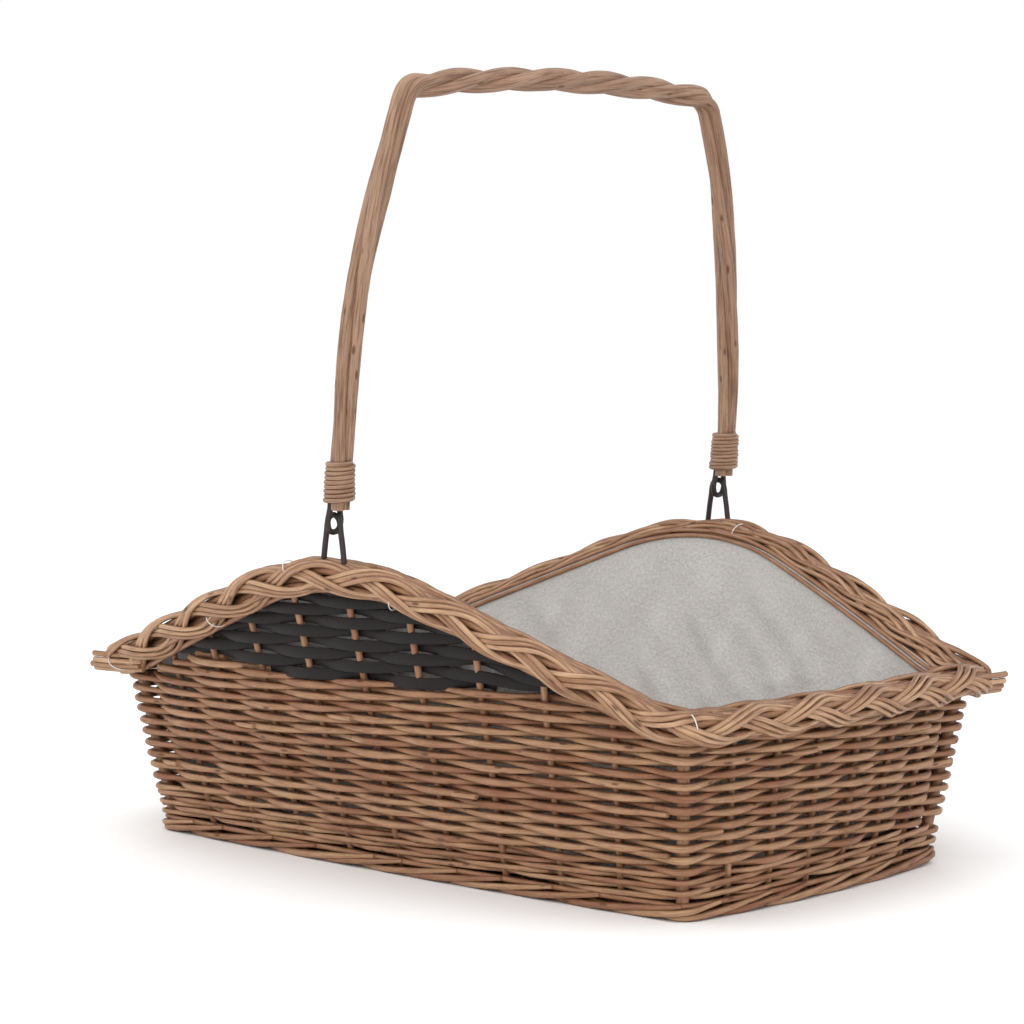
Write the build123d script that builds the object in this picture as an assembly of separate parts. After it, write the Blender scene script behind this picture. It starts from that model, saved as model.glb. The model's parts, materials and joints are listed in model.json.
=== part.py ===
from build123d import *
from math import atan2, cos, radians, sin, sqrt
import os

# A rectangular willow log basket with a twisted swinging handle and a cloth lining.
# Millimetres and degrees. X runs along the length, Y across the width, Z up.
# The origin is on the floor, under the middle of the basket.

# --- Overall sizes ---
overall_length = 615.0      # over the rim border, at the middle of the ends
overall_width = 465.0       # over the rim border, at the middle of the long sides
overall_height = 580.0      # floor to the top of the handle as it stands
corner_width = 370.0        # over the rim border, at the corners
base_length = 521.0         # outside of the wall at the floor, corner to corner
base_width = 292.0
corner_height = 147.0       # top of the rim border along the ends and corners
peak_height = 236.0         # top of the rim border at the middle of the long sides

# --- Wall and rim border ---
wall_thickness = 16.0       # rod, stake and rod
border_height = 29.0
border_width = 34.0
border_overhang = 14.0      # how far the border stands out past the wall
end_bulge = 12.0            # the ends bow out by this much between their corners
side_bulge_floor = 8.0      # the long sides bow out by this much at the floor
inner_corner_radius = 2.0   # at the innermost edge of the border
arch_half_span = 288.0      # the rim is level beyond this, and arches up inside it
peak_radius = 230.0         # of the arch's rounded top
ease_radius = 98.0          # where the arch runs out level at its ends

# --- Bands of the wall, from the floor up ---
foot_height = 12.0
foot_proud = 3.0
foot_width = 23.0
wale_height = 20.0          # the band of fine rods over the foot
wale_proud = 1.5
rod_weave_top = 146.0       # the brown rods stop here, and the dark strips begin
strip_pitch = 7.0           # one row of dark strip

# --- Upright sticks ---
stake_diameter = 5.0
post_diameter = 9.0
side_stakes = 9             # on each long side, between the corner posts
end_stakes = 6              # on each end, between the corner posts

# --- Base ---
base_thickness = 13.7
base_stick_diameter = 8.0
base_sticks = 7

# --- Lining ---
lining_thickness = 2.0

# --- Handle and its wire links ---
handle_lean = 4.0           # the handle stands tipped this far towards +X
handle_rod_diameter = 8.2
rod_gap = 0.3               # between neighbouring handle rods
handle_top_width = 344.0    # across the top corners
grip_radius = 1500.0        # the grip arches up a little
handle_bend_radius = 18.0   # at the two top corners
wire_diameter = 4.2
rim_loop_radius = 6.5       # to the middle of the wire
rim_loop_depth = 22.0       # how far its legs reach into the border
link_overlap = 12.0         # the rim loop's top over the handle loop's bottom
link_play = 2.3             # from the rim loop's top to the ends of the handle rods
swing_clearance = 0.8       # from the lowered handle to the border
binding_thickness = 1.5
binding_height = 32.0
binding_setback = 3.6       # the rods stand out of the binding by this much
loop_leg_setback = 4.0      # the wire stops this far under the binding's top

# --- Clearances ---
gap = 0.3                   # between neighbouring pieces
bore_gap = 0.15             # round a stake, stick or wire

# --- Sizes that follow from the ones above ---
reach = overall_length      # larger than half of anything here
border_inset = border_width - border_overhang
foot_inset = foot_width - foot_proud
deepest_inset = max(border_inset, foot_inset)
lining_inset = wall_thickness + gap
wall_top_corner = corner_height - border_height - gap
wall_top_peak = peak_height - border_height - gap
wale_top = foot_height + wale_height
base_top = foot_height + gap + base_thickness
loft_top = peak_height + border_height
rim_corner_x = overall_length / 2 - end_bulge - border_overhang
rim_corner_y = corner_width / 2 - border_overhang
flare_x = (rim_corner_x - base_length / 2) / corner_height
flare_y = (rim_corner_y - base_width / 2) / corner_height
peak_wall_y = overall_width / 2 - border_overhang
side_bulge_peak = peak_wall_y - base_width / 2 - flare_y * peak_height
bulge_growth = (side_bulge_peak - side_bulge_floor) / peak_height

rod_radius = handle_rod_diameter / 2
wire_radius = wire_diameter / 2
rod_spacing = handle_rod_diameter + rod_gap
rod_offset = rod_spacing / sqrt(3)              # bundle centre to a rod's centre
wire_clearance = rod_radius + wire_radius + rod_gap
groove_depth = sqrt(wire_clearance**2 - (rod_spacing / 2) ** 2) + rod_offset / 2
handle_loop_radius = groove_depth * sin(radians(60))
bundle_x = groove_depth * cos(radians(60))      # the loops' plane to the bundle's centre
binding_inner = max(rod_offset + rod_radius, groove_depth + wire_radius) + gap
binding_outer = binding_inner + binding_thickness
link_y = overall_width / 2 - border_width / 2
pivot_z = peak_height + bundle_x + binding_outer + swing_clearance
rod_foot_z = pivot_z + link_overlap + wire_radius + link_play
binding_foot_z = rod_foot_z + binding_setback
leg_bend_z = binding_foot_z + binding_height
bundle_rise = rod_spacing / 2 + rod_radius      # bundle centre to the top of its highest rod
lean = radians(handle_lean)
top_rod_z = overall_height - rod_radius - pivot_z
grip_z = pivot_z + (top_rod_z + (bundle_x + rod_offset / 2) * sin(lean)) / cos(lean) - rod_spacing / 2


def corner_x(z):
    """Half the wall's outer length at its corners, at height z."""
    return base_length / 2 + flare_x * z


def corner_y(z):
    """Half the wall's outer width at its corners, at height z."""
    return base_width / 2 + flare_y * z


def side_bulge(z):
    """How far a long side bows out between its corners, at height z."""
    return side_bulge_floor + bulge_growth * z


def outline(z, inset):
    """The basket's plan at height z, moved in from the wall's outer face."""
    x = corner_x(z) - inset
    y = corner_y(z) - inset
    middle_x = x + end_bulge
    middle_y = y + side_bulge(z)
    front = ThreePointArc((-x, -y), (0, -middle_y), (x, -y))
    right = ThreePointArc((x, -y), (middle_x, 0), (x, y))
    back = ThreePointArc((x, y), (0, middle_y), (-x, y))
    left = ThreePointArc((-x, y), (-middle_x, 0), (-x, -y))
    face = make_face([front, right, back, left])
    radius = inner_corner_radius + deepest_inset - inset
    return Pos(0, 0, z) * fillet(face.vertices(), radius)


def tub(inset):
    """The flared, bulging solid inside the given inset."""
    return loft([outline(0, inset), outline(loft_top, inset)], ruled=True)


def shell(outer_inset, inner_inset):
    return tub(outer_inset) - tub(inner_inset)


def layer(low, high):
    """Everything between two heights."""
    return Pos(0, 0, (low + high) / 2) * Box(2 * reach, 2 * reach, high - low)


def arch_slope(rise):
    """The slope of the straight run between the arch's top and its eased end."""
    radii = peak_radius + ease_radius
    drop = radii - rise
    run = sqrt(arch_half_span**2 + drop**2 - radii**2)
    return atan2(radii, run) - atan2(drop, arch_half_span)


def under_arch(corner_z, peak_z):
    """Everything under a curve that is level at the corners and arches to the peak."""
    slope = arch_slope(peak_z - corner_z)
    top_x = peak_radius * sin(slope)
    top_z = peak_z - peak_radius * (1 - cos(slope))
    ease_x = arch_half_span - ease_radius * sin(slope)
    ease_z = corner_z + ease_radius * (1 - cos(slope))
    middle_x = arch_half_span - ease_radius * sin(slope / 2)
    middle_z = corner_z + ease_radius * (1 - cos(slope / 2))
    floor_z = -border_height
    edges = [
        ThreePointArc((-top_x, top_z), (0, peak_z), (top_x, top_z)),
        Line((top_x, top_z), (ease_x, ease_z)),
        ThreePointArc((ease_x, ease_z), (middle_x, middle_z), (arch_half_span, corner_z)),
        Polyline(
            (arch_half_span, corner_z),
            (reach, corner_z),
            (reach, floor_z),
            (-reach, floor_z),
            (-reach, corner_z),
            (-arch_half_span, corner_z),
        ),
        ThreePointArc((-arch_half_span, corner_z), (-middle_x, middle_z), (-ease_x, ease_z)),
        Line((-ease_x, ease_z), (-top_x, top_z)),
    ]
    return extrude(Plane.XZ * make_face(edges), amount=reach, both=True)


def wedge_face(z, side):
    """Plan of one side's share of the basket, mitred at 45 degrees at the corners."""
    x = corner_x(z)
    y = corner_y(z)
    out = 2 * border_width
    if side == "front":
        points = [(-x - out, -y - out), (x + out, -y - out), (x - out, -y + out), (-x + out, -y + out)]
    else:
        points = [(x + out, -y - out), (x + out, y + out), (x - out, y - out), (x - out, -y + out)]
    return Pos(0, 0, z) * make_face(Polyline(*points, close=True))


def wedge(side):
    return loft([wedge_face(0, side), wedge_face(loft_top, side)], ruled=True)


def rod_between(start, end, radius):
    """A straight round stick."""
    axis = Vector(*end) - Vector(*start)
    place = Plane(origin=start, z_dir=axis)
    return place * Cylinder(radius, axis.length, align=(Align.CENTER, Align.CENTER, Align.MIN))


def side_stake_line(share):
    """A stake's line in the front wall; share is -1 at one corner and 1 at the other."""
    points = []
    for z in (0, loft_top):
        y = corner_y(z) + side_bulge(z) * (1 - share**2) - wall_thickness / 2
        points.append((share * corner_x(z), -y, z))
    return points


def end_stake_line(share):
    """A stake's line in the right-hand end wall."""
    points = []
    for z in (0, loft_top):
        x = corner_x(z) + end_bulge * (1 - share**2) - wall_thickness / 2
        points.append((x, share * corner_y(z), z))
    return points


def corner_post_line():
    """The post's line at the front right-hand corner."""
    middle_radius = inner_corner_radius + deepest_inset - wall_thickness / 2
    outer_radius = inner_corner_radius + deepest_inset
    back_off = outer_radius - middle_radius * cos(radians(45))
    return [(corner_x(z) - back_off, -corner_y(z) + back_off, z) for z in (0, loft_top)]


def shares(count):
    """Evenly spaced places between the two corners of a side."""
    return [2 * (i + 1) / (count + 1) - 1 for i in range(count)]


def sticks(lines, diameter):
    return [rod_between(start, end, diameter / 2) for start, end in lines]


def solids_of(shapes):
    """All solids in a list of shapes, as one group."""
    found = []
    for shape in shapes:
        found.extend(shape.solids())
    return Compound(found)


def mirrored(shape, plane):
    return Compound(mirror(shape, about=plane).solids())


def corner_mirror(shape):
    """A front right-hand piece repeated at all four corners."""
    right = [shape, mirror(shape, about=Plane.XZ)]
    return solids_of(right + [mirror(piece, about=Plane.YZ) for piece in right])


def handle_curve(offset):
    """Half of the handle's run in its own plane, moved out by offset, and its other half."""
    bend = handle_bend_radius + offset
    bend_y = handle_top_width / 2 - handle_bend_radius
    grip_centre = grip_z - grip_radius
    bend_z = grip_centre + sqrt((grip_radius - handle_bend_radius) ** 2 - bend_y**2)
    inward = link_y - bend_y
    height = bend_z - leg_bend_z
    leg_radius = (inward**2 + height**2 - handle_bend_radius**2) / (2 * (inward - handle_bend_radius))
    leg_centre = link_y - leg_radius
    leg_turn = atan2(height, bend_y - leg_centre)
    grip_turn = atan2(bend_y, bend_z - grip_centre)
    leg_out = leg_radius + offset
    grip_out = grip_radius + offset
    middle = (leg_turn + radians(90) - grip_turn) / 2
    foot = (link_y + offset, rod_foot_z)
    knee = (link_y + offset, leg_bend_z)
    leg_middle = (leg_centre + leg_out * cos(leg_turn / 2), leg_bend_z + leg_out * sin(leg_turn / 2))
    leg_end = (bend_y + bend * cos(leg_turn), bend_z + bend * sin(leg_turn))
    bend_middle = (bend_y + bend * cos(middle), bend_z + bend * sin(middle))
    bend_end = (bend_y + bend * sin(grip_turn), bend_z + bend * cos(grip_turn))
    top = (0, grip_centre + grip_out)
    return foot, knee, leg_middle, leg_end, bend_middle, bend_end, top


def handle_path(offset):
    """The full run of a handle rod in the YZ plane."""
    foot, knee, leg_middle, leg_end, bend_middle, bend_end, top = handle_curve(offset)

    def other(point):
        return (-point[0], point[1])

    edges = [
        Line(foot, knee),
        ThreePointArc(knee, leg_middle, leg_end),
        ThreePointArc(leg_end, bend_middle, bend_end),
        ThreePointArc(bend_end, top, other(bend_end)),
        ThreePointArc(other(bend_end), other(bend_middle), other(leg_end)),
        ThreePointArc(other(leg_end), other(leg_middle), other(knee)),
        Line(other(knee), other(foot)),
    ]
    return Plane.YZ * Wire(edges)


def swept(path, radius):
    """A round bar along a path."""
    section = Plane(origin=path @ 0, z_dir=path % 0) * Circle(radius)
    return sweep(section, path=path)


def handle_rod(x, offset):
    return Pos(bundle_x + x, 0, 0) * swept(handle_path(offset), rod_radius)


def loop_wire(plane, radius, bend_z, leg_z):
    """A U of wire: a half circle about bend_z with both legs running to leg_z."""
    crown = bend_z + (radius if leg_z < bend_z else -radius)
    edges = [
        Line((-radius, leg_z), (-radius, bend_z)),
        ThreePointArc((-radius, bend_z), (0, crown), (radius, bend_z)),
        Line((radius, bend_z), (radius, leg_z)),
    ]
    return swept(plane * Wire(edges), wire_radius)


def leaned(shape):
    """Tip a piece of the upright handle to the way the handle stands."""
    return shape.rotate(Axis((0, 0, pivot_z), (0, 1, 0)), handle_lean)


def make_wall(nodes):
    wall = under_arch(wall_top_corner, wall_top_peak)
    stake_space = layer(foot_height + gap, loft_top) & wall
    front_lines = [side_stake_line(share) for share in shares(side_stakes)]
    right_lines = [end_stake_line(share) for share in shares(end_stakes)]
    post_line = corner_post_line()
    front_stakes = [stake & stake_space for stake in sticks(front_lines, stake_diameter)]
    right_stakes = [stake & stake_space for stake in sticks(right_lines, stake_diameter)]
    post = rod_between(*post_line, post_diameter / 2) & stake_space
    post_bore = rod_between(*post_line, post_diameter / 2 + bore_gap)
    front_bores = sticks(front_lines, stake_diameter + 2 * bore_gap)
    front_bores += [post_bore, mirror(post_bore, about=Plane.YZ)]
    right_bores = sticks(right_lines, stake_diameter + 2 * bore_gap)
    right_bores += [post_bore, mirror(post_bore, about=Plane.XZ)]
    front = wedge("front")
    right = wedge("right")
    wall_shell = shell(0, wall_thickness) & wall
    wale_shell = shell(-wale_proud, wall_thickness) & layer(foot_height + gap, wale_top)
    rod_shell = wall_shell & layer(wale_top + gap, rod_weave_top)
    foot_shell = shell(-foot_proud, foot_inset) & layer(0, foot_height)
    strips = []
    low = rod_weave_top + gap
    while low + strip_pitch / 2 < wall_top_peak:
        row = (wall_shell & front) & layer(low, low + strip_pitch - gap)
        strips.append(row - front_bores)
        low += strip_pitch
    nodes["foot_border_front"] = foot_shell & front
    nodes["foot_border_right"] = foot_shell & right
    nodes["wale_front"] = (wale_shell & front) - front_bores
    nodes["wale_right"] = (wale_shell & right) - right_bores
    nodes["rod_weave_front"] = (rod_shell & front) - front_bores
    nodes["rod_weave_right"] = (rod_shell & right) - right_bores
    nodes["dark_strips_front"] = solids_of(strips)
    nodes["stakes_front"] = solids_of(front_stakes)
    nodes["stakes_right"] = solids_of(right_stakes)
    nodes["corner_posts"] = corner_mirror(post)


def make_rim(nodes):
    band = under_arch(corner_height, peak_height) - under_arch(wall_top_corner + gap, wall_top_peak + gap)
    border = shell(-border_overhang, border_inset) & band
    bore_foot = peak_height - rim_loop_depth - gap
    bores = []
    for x in (-rim_loop_radius, rim_loop_radius):
        bores.append(rod_between((x, -link_y, bore_foot), (x, -link_y, loft_top), wire_radius + bore_gap))
    nodes["border_front"] = (border & wedge("front")) - bores
    nodes["border_right"] = border & wedge("right")
    crown_z = pivot_z + link_overlap - rim_loop_radius
    loop = loop_wire(Plane.XZ, rim_loop_radius, crown_z, peak_height - rim_loop_depth)
    nodes["rim_loop_front"] = Pos(0, -link_y, 0) * loop


def make_lining(nodes):
    cloth = shell(lining_inset, lining_inset + lining_thickness)
    cloth = cloth & under_arch(wall_top_corner, wall_top_peak) & layer(base_top + gap, loft_top)
    nodes["lining_front"] = cloth & wedge("front")
    nodes["lining_right"] = cloth & wedge("right")
    floor_layer = layer(base_top + gap, base_top + gap + lining_thickness)
    nodes["lining_floor"] = tub(lining_inset + lining_thickness + gap) & floor_layer


def make_base(nodes):
    plate = tub(lining_inset) & layer(foot_height + gap, base_top)
    middle_z = (foot_height + gap + base_top) / 2
    half_width = corner_y(middle_z) - lining_inset
    bars = []
    bores = []
    for share in shares(base_sticks):
        ends = [(-reach, share * half_width, middle_z), (reach, share * half_width, middle_z)]
        bars.append(rod_between(*ends, base_stick_diameter / 2) & plate)
        bores.append(rod_between(*ends, base_stick_diameter / 2 + bore_gap))
    nodes["base_sticks"] = solids_of(bars)
    nodes["base_weave"] = plate - bores


def make_handle(nodes):
    near = rod_offset / 2
    half = rod_spacing / 2
    nodes["handle_rod_1"] = leaned(handle_rod(-rod_offset, 0))
    nodes["handle_rod_2"] = leaned(handle_rod(near, half))
    nodes["handle_rod_3"] = leaned(handle_rod(near, -half))
    bend_z = pivot_z + handle_loop_radius
    loop = loop_wire(Plane.YZ, handle_loop_radius, bend_z, leg_bend_z - loop_leg_setback)
    ring = Cylinder(binding_outer, binding_height) - Cylinder(binding_inner, binding_height)
    ring = Pos(bundle_x, -link_y, binding_foot_z + binding_height / 2) * ring
    nodes["handle_loop_front"] = leaned(Pos(0, -link_y, 0) * loop)
    nodes["handle_binding_front"] = leaned(ring)


def add_other_sides(nodes):
    """The back repeats the front, and the left-hand end repeats the right."""
    for name in [name for name in nodes if name.endswith("_front")]:
        nodes[name.replace("_front", "_back")] = mirrored(nodes[name], Plane.XZ)
    for name in [name for name in nodes if name.endswith("_right")]:
        nodes[name.replace("_right", "_left")] = mirrored(nodes[name], Plane.YZ)


def main():
    nodes = {}
    make_base(nodes)
    make_wall(nodes)
    make_rim(nodes)
    make_lining(nodes)
    make_handle(nodes)
    add_other_sides(nodes)
    os.makedirs("parts", exist_ok=True)
    for name, shape in nodes.items():
        export_step(Compound(shape.solids()), f"parts/{name}.step")
    print("pivots at Y", round(link_y, 3), "Z", round(pivot_z, 3))


main()
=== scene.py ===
"""Weaves the willow, dark strips, lining, handle and wire links of a log basket round its CAD frame."""

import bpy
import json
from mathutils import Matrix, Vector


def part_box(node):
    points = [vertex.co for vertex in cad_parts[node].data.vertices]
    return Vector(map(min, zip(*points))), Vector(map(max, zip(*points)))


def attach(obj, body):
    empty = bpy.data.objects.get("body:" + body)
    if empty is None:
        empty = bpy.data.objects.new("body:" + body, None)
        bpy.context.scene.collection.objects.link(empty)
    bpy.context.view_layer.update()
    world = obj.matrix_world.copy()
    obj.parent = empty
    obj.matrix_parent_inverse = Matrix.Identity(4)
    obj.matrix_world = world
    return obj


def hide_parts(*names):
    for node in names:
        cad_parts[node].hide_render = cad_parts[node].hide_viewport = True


bl_info = {
    "name": "Wicker Log Basket",
    "version": (1, 0, 0),
    "blender": (4, 5, 0),
    "location": "View3D > Sidebar > Basket",
    "description": "Weaves a lined log basket with a swinging twisted handle round its CAD frame",
    "category": "Add Mesh",
}

import json
from math import atan2, cos, pi, radians, sin, sqrt

import bpy
import numpy as np
from bpy.props import FloatProperty, FloatVectorProperty, IntProperty, PointerProperty
from mathutils import Vector

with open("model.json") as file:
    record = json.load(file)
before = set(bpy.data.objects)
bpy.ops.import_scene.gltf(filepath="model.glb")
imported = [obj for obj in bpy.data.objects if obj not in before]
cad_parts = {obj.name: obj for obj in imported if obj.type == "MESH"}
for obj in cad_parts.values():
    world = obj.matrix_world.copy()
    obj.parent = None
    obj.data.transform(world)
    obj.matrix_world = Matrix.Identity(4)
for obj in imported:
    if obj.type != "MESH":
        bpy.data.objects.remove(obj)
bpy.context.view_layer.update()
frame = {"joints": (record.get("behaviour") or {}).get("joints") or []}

# The basket's form, in metres. Its plan is a rectangle with bowed sides that flares upwards.
# The sides are counted front, right, back, left. An inset is measured in from the wall's outer face.
BASKET = "basket"
HANDLE = "handle"
SIDES = ("front", "right", "back", "left")
BASE_HALF_LENGTH = 0.2605
BASE_HALF_WIDTH = 0.146
RIM_CORNER_HALF_WIDTH = 0.185
END_BULGE = 0.012
SIDE_BULGE_FLOOR = 0.008
BORDER_OVERHANG = 0.014
CORNER_RADIUS = 0.011
LEAST_RADIUS = 0.002
RIM_CORNER_RADIUS = 0.001
LINING_DROP = 0.0142
ARCH_HALF_SPAN = 0.288
PEAK_RADIUS = 0.230
EASE_RADIUS = 0.098
WALL = 0.016
POST_RADIUS = 0.0045
STAKE_RADIUS = 0.0025
SPACES = np.array([10, 7, 10, 7])       # gaps between uprights on each side, posts included
SPACES_BEFORE = np.array([0, 10, 17, 27])

level_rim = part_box("border_right")
arched_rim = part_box("border_front")
CORNER_Z = level_rim[1].z
PEAK_Z = arched_rim[1].z
BORDER_HEIGHT = CORNER_Z - level_rim[0].z
HALF_LENGTH = level_rim[1].x
HALF_WIDTH = -arched_rim[0].y
FLARE_X = (HALF_LENGTH - END_BULGE - BORDER_OVERHANG - BASE_HALF_LENGTH) / CORNER_Z
FLARE_Y = (RIM_CORNER_HALF_WIDTH - BORDER_OVERHANG - BASE_HALF_WIDTH) / CORNER_Z
PEAK_BULGE = HALF_WIDTH - BORDER_OVERHANG - BASE_HALF_WIDTH - FLARE_Y * PEAK_Z
BULGE_GROWTH = (PEAK_BULGE - SIDE_BULGE_FLOOR) / PEAK_Z
FOOT_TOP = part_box("foot_border_front")[1].z
WALE_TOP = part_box("wale_front")[1].z
ROD_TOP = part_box("rod_weave_front")[1].z
BASE_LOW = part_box("base_weave")[0].z
BASE_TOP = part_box("base_weave")[1].z
LINK_Y = (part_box("rim_loop_back")[0].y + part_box("rim_loop_back")[1].y) / 2
PIVOT_Z = frame["joints"][0]["pos_m"][2]


def linear(hex_colour):
    """An sRGB hex colour as the linear red, green, blue and alpha that shaders take."""
    values = [int(hex_colour[i : i + 2], 16) / 255 for i in (1, 3, 5)]
    return (*(v / 12.92 if v <= 0.04045 else ((v + 0.055) / 1.055) ** 2.4 for v in values), 1.0)


# --- The basket's surfaces ---


def corner_x(z):
    return BASE_HALF_LENGTH + FLARE_X * z


def corner_y(z):
    return BASE_HALF_WIDTH + FLARE_Y * z


def side_bulge(z):
    return SIDE_BULGE_FLOOR + BULGE_GROWTH * z


def half_lengths(side, z, inset):
    """Half a side's own length, and its distance from the middle at its corners."""
    x = corner_x(z) - inset
    y = corner_y(z) - inset
    is_long = side % 2 == 0
    return np.where(is_long, x, y), np.where(is_long, y, x)


def side_point(side, share, z, inset):
    """A place on one side's own curve, whose corners are sharp; share runs from -1 to 1."""
    half, out = half_lengths(side, z, inset)
    bulge = np.where(side % 2 == 0, side_bulge(z), END_BULGE)
    along = half * share
    out = out + bulge * (1 - share**2)
    cosine = np.array([1, 0, -1, 0])[side]
    sine = np.array([0, 1, 0, -1])[side]
    return np.stack([along * cosine + out * sine, along * sine - out * cosine], axis=-1)


def wall_point(turn, z, inset, corner_radius=CORNER_RADIUS):
    """A place on the wall; turn counts sides, so 0 to 1 is the front and 1 to 2 the right."""
    turn, z, inset = np.broadcast_arrays(np.asarray(turn, float), z, inset)
    side = np.floor(turn).astype(int) % 4
    share = 2 * (turn - np.floor(turn)) - 1
    sign = np.where(share < 0, -1, 1)
    other = (side + sign) % 4
    half = half_lengths(side, z, inset)[0]
    other_half = half_lengths(other, z, inset)[0]
    radius = np.maximum(corner_radius - inset, LEAST_RADIUS)
    distance = (1 - np.abs(share)) * half
    here = side_point(side, sign * (1 - radius / half), z, inset)
    there = side_point(other, -sign * (1 - radius / other_half), z, inset)
    corner = side_point(side, sign * np.ones_like(share), z, inset)
    blend = np.clip(0.5 * (1 - distance / radius), 0, 0.5)[..., None]
    weight = 2 * sqrt(0.5) * blend * (1 - blend)
    rounded = (1 - blend) ** 2 * here + weight * corner + blend**2 * there
    rounded = rounded / ((1 - blend) ** 2 + weight + blend**2)
    flat = side_point(side, share, z, inset)
    plan = np.where((distance < radius)[..., None], rounded, flat)
    return np.concatenate([plan, np.asarray(z, float)[..., None]], axis=-1)


def outward(turn, z, inset):
    """The wall's outward direction in plan."""
    step = 0.001
    normal = wall_point(turn, z, inset - step) - wall_point(turn, z, inset + step)
    return normal / np.linalg.norm(normal, axis=-1, keepdims=True)


def arch_height(x, corner_z, peak_z):
    """The height of a curve that is level at the corners and arches over the long sides."""
    radii = PEAK_RADIUS + EASE_RADIUS
    drop = radii - (peak_z - corner_z)
    run = sqrt(ARCH_HALF_SPAN**2 + drop**2 - radii**2)
    slope = atan2(radii, run) - atan2(drop, ARCH_HALF_SPAN)
    x = np.abs(x)
    top_x = PEAK_RADIUS * sin(slope)
    ease_x = ARCH_HALF_SPAN - EASE_RADIUS * sin(slope)
    crown = peak_z - PEAK_RADIUS + np.sqrt(np.maximum(PEAK_RADIUS**2 - x**2, 0))
    straight = peak_z - PEAK_RADIUS * (1 - cos(slope)) - (x - top_x) * sin(slope) / cos(slope)
    eased = corner_z + EASE_RADIUS - np.sqrt(np.maximum(EASE_RADIUS**2 - (ARCH_HALF_SPAN - x) ** 2, 0))
    return np.select([x < top_x, x < ease_x, x < ARCH_HALF_SPAN], [crown, straight, eased], corner_z)


def upright_count(turn):
    """How many spaces between uprights lie between the front left-hand corner and this turn."""
    side = np.floor(turn).astype(int) % 4
    return SPACES_BEFORE[side] + (turn - np.floor(turn)) * SPACES[side]


def corner_nearness(turn):
    """1 at a corner post, falling to 0 within half a space."""
    off = np.abs(turn - np.round(turn)) * SPACES[np.floor(turn).astype(int) % 4]
    return np.clip(1 - 2 * off, 0, 1)


def round_turns(samples):
    """Turns once round the basket, with this many to each space between uprights."""
    return np.concatenate([side + np.arange(n * samples) / (n * samples) for side, n in enumerate(SPACES)])


# --- Swept rods and strips ---


class Bundle:
    """Centre lines of rods or strips, gathered to be swept as one piece."""

    def __init__(self):
        self.points = []
        self.edges = []
        self.fields = {"rod_radius": [], "tint": [], "squeeze": [], "along": [], "facing": []}
        self.count = 0

    def add(self, points, radius, tint=0.5, squeeze=1.0, closed=False, start=0.0, facing=None):
        points = np.asarray(points, float)
        count = len(points)
        steps = np.linalg.norm(np.diff(points, axis=0), axis=1)
        along = start + np.concatenate([[0], np.cumsum(steps)])
        self.points.append(points)
        index = np.arange(count) + self.count
        pairs = np.stack([index[:-1], index[1:]], axis=1)
        if closed:
            pairs = np.concatenate([pairs, [[index[-1], index[0]]]])
        self.edges.append(pairs)
        self.fields["rod_radius"].append(np.broadcast_to(radius, count))
        self.fields["tint"].append(np.broadcast_to(tint, count))
        self.fields["squeeze"].append(np.broadcast_to(squeeze, count))
        self.fields["along"].append(along)
        if facing is None:
            facing = np.tile([0.0, 0.0, 1.0], (count, 1))
        self.fields["facing"].append(facing)
        self.count += count

    def mesh(self, name):
        mesh = bpy.data.meshes.new(name)
        points = np.concatenate(self.points)
        edges = np.concatenate(self.edges)
        mesh.from_pydata(points.tolist(), edges.tolist(), [])
        for field, parts in self.fields.items():
            values = np.concatenate(parts)
            is_vector = values.ndim == 2
            layer = mesh.attributes.new(field, "FLOAT_VECTOR" if is_vector else "FLOAT", "POINT")
            layer.data.foreach_set("vector" if is_vector else "value", values.astype(np.float32).ravel())
        return mesh


def add_node(tree, kind, settings=None, inputs=None):
    """Add a node; inputs are numbered or named, and hold a value or the socket to link from."""
    node = tree.nodes.new(kind)
    for key, value in (settings or {}).items():
        setattr(node, key, value)
    for key, value in (inputs or {}).items():
        if isinstance(value, bpy.types.NodeSocket):
            tree.links.new(value, node.inputs[key])
        else:
            node.inputs[key].default_value = value
    return node


def new_tree(name, sockets):
    """A geometry tree with named inputs, its input node, and the identifiers of its inputs."""
    tree = bpy.data.node_groups.new(name, "GeometryNodeTree")
    tree.interface.new_socket("Geometry", in_out="OUTPUT", socket_type="NodeSocketGeometry")
    tree.interface.new_socket("Geometry", in_out="INPUT", socket_type="NodeSocketGeometry")
    for socket, kind in sockets:
        tree.interface.new_socket(socket, in_out="INPUT", socket_type="NodeSocket" + kind)
    return tree, add_node(tree, "NodeGroupInput").outputs


def lumps(tree, geometry, height, size, seed):
    """Push a swept surface in and out a little along its normals."""
    position = add_node(tree, "GeometryNodeInputPosition").outputs[0]
    noise = add_node(
        tree,
        "ShaderNodeTexNoise",
        {"noise_dimensions": "4D"},
        {"Vector": position, "W": seed, "Scale": size, "Detail": 1.0},
    ).outputs["Fac"]
    centred = add_node(tree, "ShaderNodeMath", {"operation": "SUBTRACT"}, {0: noise, 1: 0.5}).outputs[0]
    amount = add_node(tree, "ShaderNodeMath", {"operation": "MULTIPLY"}, {0: centred, 1: height}).outputs[0]
    normal = add_node(tree, "GeometryNodeInputNormal").outputs[0]
    offset = add_node(tree, "ShaderNodeVectorMath", {"operation": "SCALE"}, {0: normal, "Scale": amount})
    moved = add_node(
        tree, "GeometryNodeSetPosition", None, {"Geometry": geometry, "Offset": offset.outputs[0]}
    )
    return moved.outputs[0]


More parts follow.
